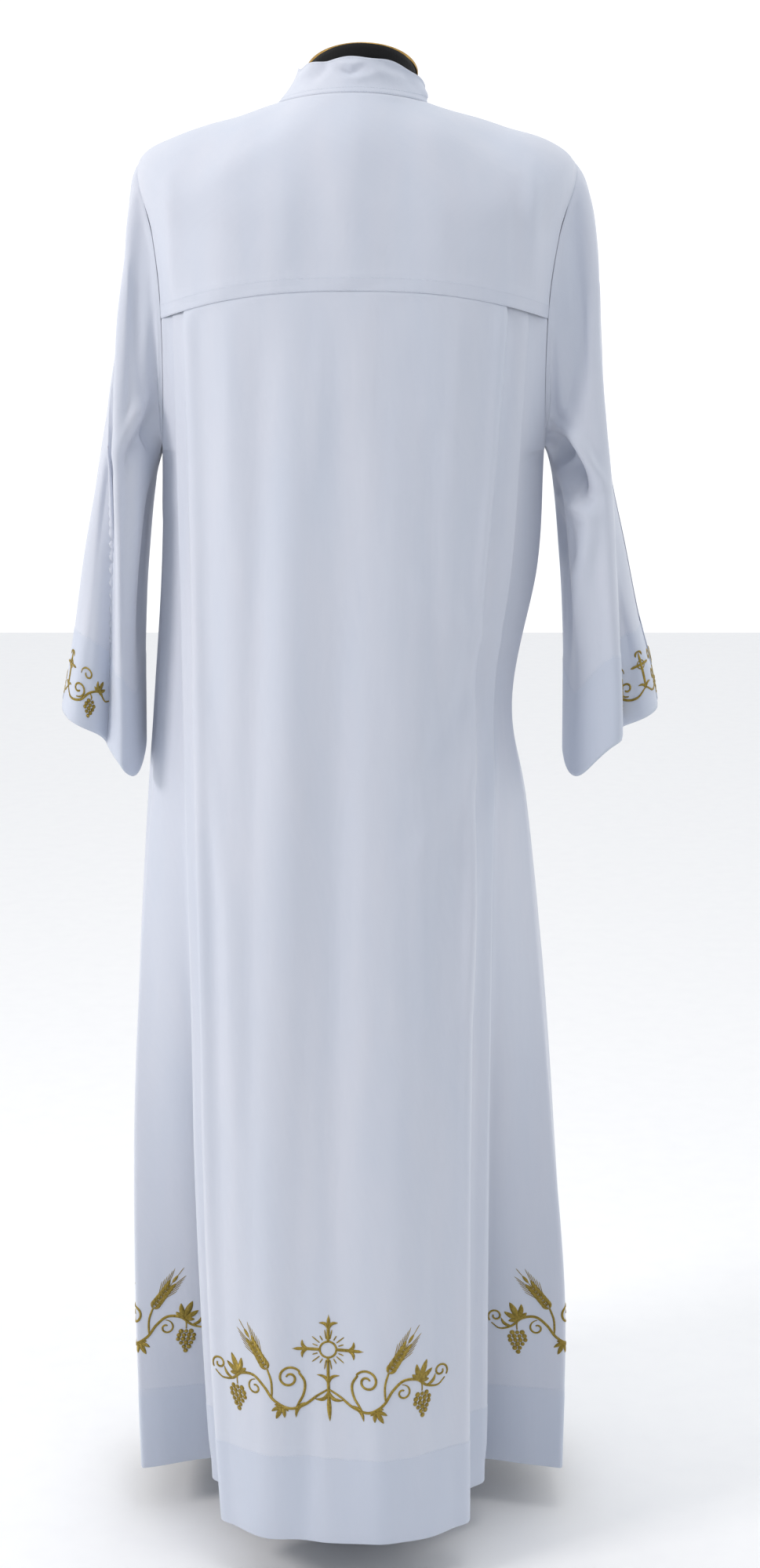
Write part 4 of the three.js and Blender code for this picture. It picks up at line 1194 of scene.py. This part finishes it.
for name, obj in shells.items():
    white = Finish("white_" + name, 0.78, Sheen_Weight=0.25, Sheen_Roughness=0.45)
    cut = white.node("UVMap", uv_map="cut").outputs["UV"]
    weave = white.times(white.wave(cut, WEAVE, "X"), white.wave(cut, WEAVE, "Y"))
    hanging = white.noise(white.stretch(white.place, (26, 26, 5)), 1, 3, Roughness=0.5)
    rumple = white.noise(white.place, 55, 2)
    puckered = white.times(rumple, white.node("Attribute", attribute_name="pucker").outputs["Fac"])
    layers = white.node("Attribute", attribute_name="double").outputs["Fac"]
    folded = white.times(layers, 0.4 if TURNED_UP[name] > 0.05 else 0.05)
    # Painted shade: long narrow streaks up the cloth are painted darker and bluer, as the shade of faint
    # vertical folds.
    streak_shade = white.noise(white.stretch(cut, (240, 16, 1)), 1, 2)
    # Painted shade: the single cloth is painted darker and bluer in the hollows of the soft folds that this
    # same noise raises.
    thin = white.blend(hanging, rgb(203, 210, 223), rgb(216, 218, 227))
    # Painted shade: where the cloth lies double, at the hem and the cuffs, it is painted darker and bluer;
    # along the yoke's pressed fold only faintly.
    body = white.blend(folded, thin, rgb(192, 202, 219))
    colour = white.blend(white.times(streak_shade, 0.12), body, rgb(184, 192, 208))
    white.cover([obj], colour, (hanging, 0.5, 0.0022), (rumple, 0.25, 0.0005), (puckered, 0.7, 0.0012),
                (weave, 0.25, 0.0001))

# %% The sewing thread and the gold thread
thread = Finish("sewing_thread", 0.6, Sheen_Weight=0.2)
twist = thread.noise(thread.place, 900, 1)
colour = thread.blend(twist, rgb(196, 204, 220), rgb(226, 230, 238))
thread.cover(sewing.values(), colour, (twist, 0.5, 0.0001))

gold = Finish("gold_thread", 0.36, Metallic=0.72)
laid = gold.stretch(gold.node("UVMap", uv_map="thread").outputs["UV"], (0.00035, 1, 1))
threads = gold.wave(laid, 0.00052, "Y")
patchy, slow = gold.noise(gold.place, 420, 2), gold.noise(gold.place, 90, 1)
light = gold.blend(slow, rgb(184, 158, 66), rgb(216, 192, 104))
# Painted shade: the gold is painted dark in the grooves between its laid threads, and in random patches of
# tone.
groove_shade = {"Value": gold.times(threads, patchy), "From Min": 0.08, "From Max": 0.55}
colour = gold.blend(gold.node("MapRange", groove_shade).outputs["Result"], rgb(112, 92, 30), light)
gold.cover(motifs.values(), colour, (threads, 0.8, 0.00018), (patchy, 0.35, 0.0002))

# %% The form's jersey, wood, gilt and steel
jersey = Finish("black_jersey", 0.95, Sheen_Weight=0.05, Sheen_Roughness=0.5)
knit = jersey.times(jersey.wave(jersey.place, 0.0011, "X"), jersey.wave(jersey.place, 0.0008, "Z"))
fuzz = jersey.noise(jersey.place, 700, 2)
colour = jersey.blend(fuzz, rgb(4, 4, 5), rgb(14, 14, 15))
jersey.cover([torso], colour, (knit, 0.6, 0.0003), (fuzz, 0.4, 0.0002))

wood = Finish("walnut_stain", 0.34, Coat_Weight=0.4, Coat_Roughness=0.2)
grain = wood.noise(wood.stretch(wood.place, (16, 110, 110)), 2, 6, Distortion=0.6)
wood.cover([wood_cap], wood.blend(grain, rgb(58, 34, 16), rgb(150, 98, 52)), (grain, 0.3, 0.0002))

gilt = Finish("gilt", 0.3, Metallic=1.0)
worn = gilt.noise(gilt.place, 160, 3)
gilt.cover([gilt_rim], gilt.blend(worn, rgb(140, 106, 52), rgb(196, 160, 92)), (worn, 0.25, 0.0002))

steel = Finish("satin_steel", 0.32, Metallic=1.0)
drawn = steel.noise(steel.stretch(steel.place, (900, 900, 20)), 1, 2)
colour = steel.blend(drawn, rgb(150, 152, 156), rgb(196, 197, 200))
steel.cover([pole, flange, knob], colour, (drawn, 0.3, 0.0001))

enamel = Finish("black_enamel", 0.42, Coat_Weight=0.3)
dust, pebbled = enamel.noise(enamel.place, 40, 3), enamel.noise(enamel.place, 520, 1)
enamel.cover([plate], enamel.blend(dust, rgb(16, 16, 18), rgb(34, 34, 36)), (pebbled, 0.3, 0.0002))
print(len(bpy.data.materials), "materials")

# %% The cut
CUT = {
    "back_panel": (1.12, 1.30, 1.050),
    "back_yoke": (0.59, 0.34, 0.106),
    "front_left": (0.39, 1.60, 0.463),
    "front_right": (0.38, 1.60, 0.434),
    "front_placket": (0.033, 0.385, 0.0125),
    "collar_band": (0.48, 0.036, 0.0142),
    "sleeve_left": (0.68, 0.57, 0.169),
    "sleeve_right": (0.68, 0.57, 0.176),
}
for name, (wide, long, area) in CUT.items():
    print(name, wide, "x", long, "m")

# %% [markdown]
# ## The stage
# A plain pale floor, a surround that is white behind the robe, and soft light from high on the left.

# %% Camera, floor and light
EYE = (-0.027, 2.5, 1.40)
SENSOR, FOCAL, FRAME_HIGH, TILT_DOWN = 36, 3075, 2000, 12.95
camera = add_object("camera", bpy.data.cameras.new("camera"))
camera.data.sensor_width = SENSOR
camera.data.lens = SENSOR * FOCAL / FRAME_HIGH
camera.location = EYE
camera.rotation_euler = (math.radians(90 - TILT_DOWN), 0, math.radians(180))
bpy.context.scene.camera = camera

bm = bmesh.new()
bmesh.ops.create_grid(bm, x_segments=1, y_segments=1, size=6)
floor = add_object("floor", bm)
pale = Finish("pale_floor", 0.9)
pale.cover([floor], pale.blend(pale.noise(pale.place, 30, 2), rgb(246, 246, 247), rgb(251, 251, 251)))

# The surround is white behind the robe and darker on the camera's side, so that the folds show.
world = bpy.data.worlds.new("studio")
bpy.context.scene.world = world
world.use_nodes = True
sky = world.node_tree
way = add_node(sky, "TexCoord").outputs["Generated"]
depth = add_node(sky, "SeparateXYZ", {"Vector": way}).outputs["Y"]
near = add_node(sky, "MapRange", {"Value": depth, "From Min": -0.1, "From Max": 0.7},
                interpolation_type="SMOOTHSTEP").outputs["Result"]
background = sky.nodes["Background"]
sky.links.new(blend(sky, near, (0.98, 0.99, 1, 1), (0.36, 0.38, 0.42, 1)), background.inputs["Color"])
background.inputs["Strength"].default_value = 1.12
bpy.context.scene.view_settings.view_transform = "Standard"


def softbox(name, at, size, watts, colour, aim=(0, 0, 0.9)):
    data = bpy.data.lights.new(name, "AREA")
    data.size, data.energy, data.color = size, watts, colour
    obj = add_object(name, data)
    obj.location = at
    obj.rotation_euler = (Vector(aim) - Vector(at)).to_track_quat("-Z", "Y").to_euler()


softbox("key", (2.4, 1.2, 2.2), 0.7, 30, (1.0, 0.95, 0.92))
softbox("top", (-0.4, 0.7, 3.4), 0.8, 10, (1.0, 1.0, 1.0))
print("camera at", EYE, "and", len(bpy.data.lights), "lights")
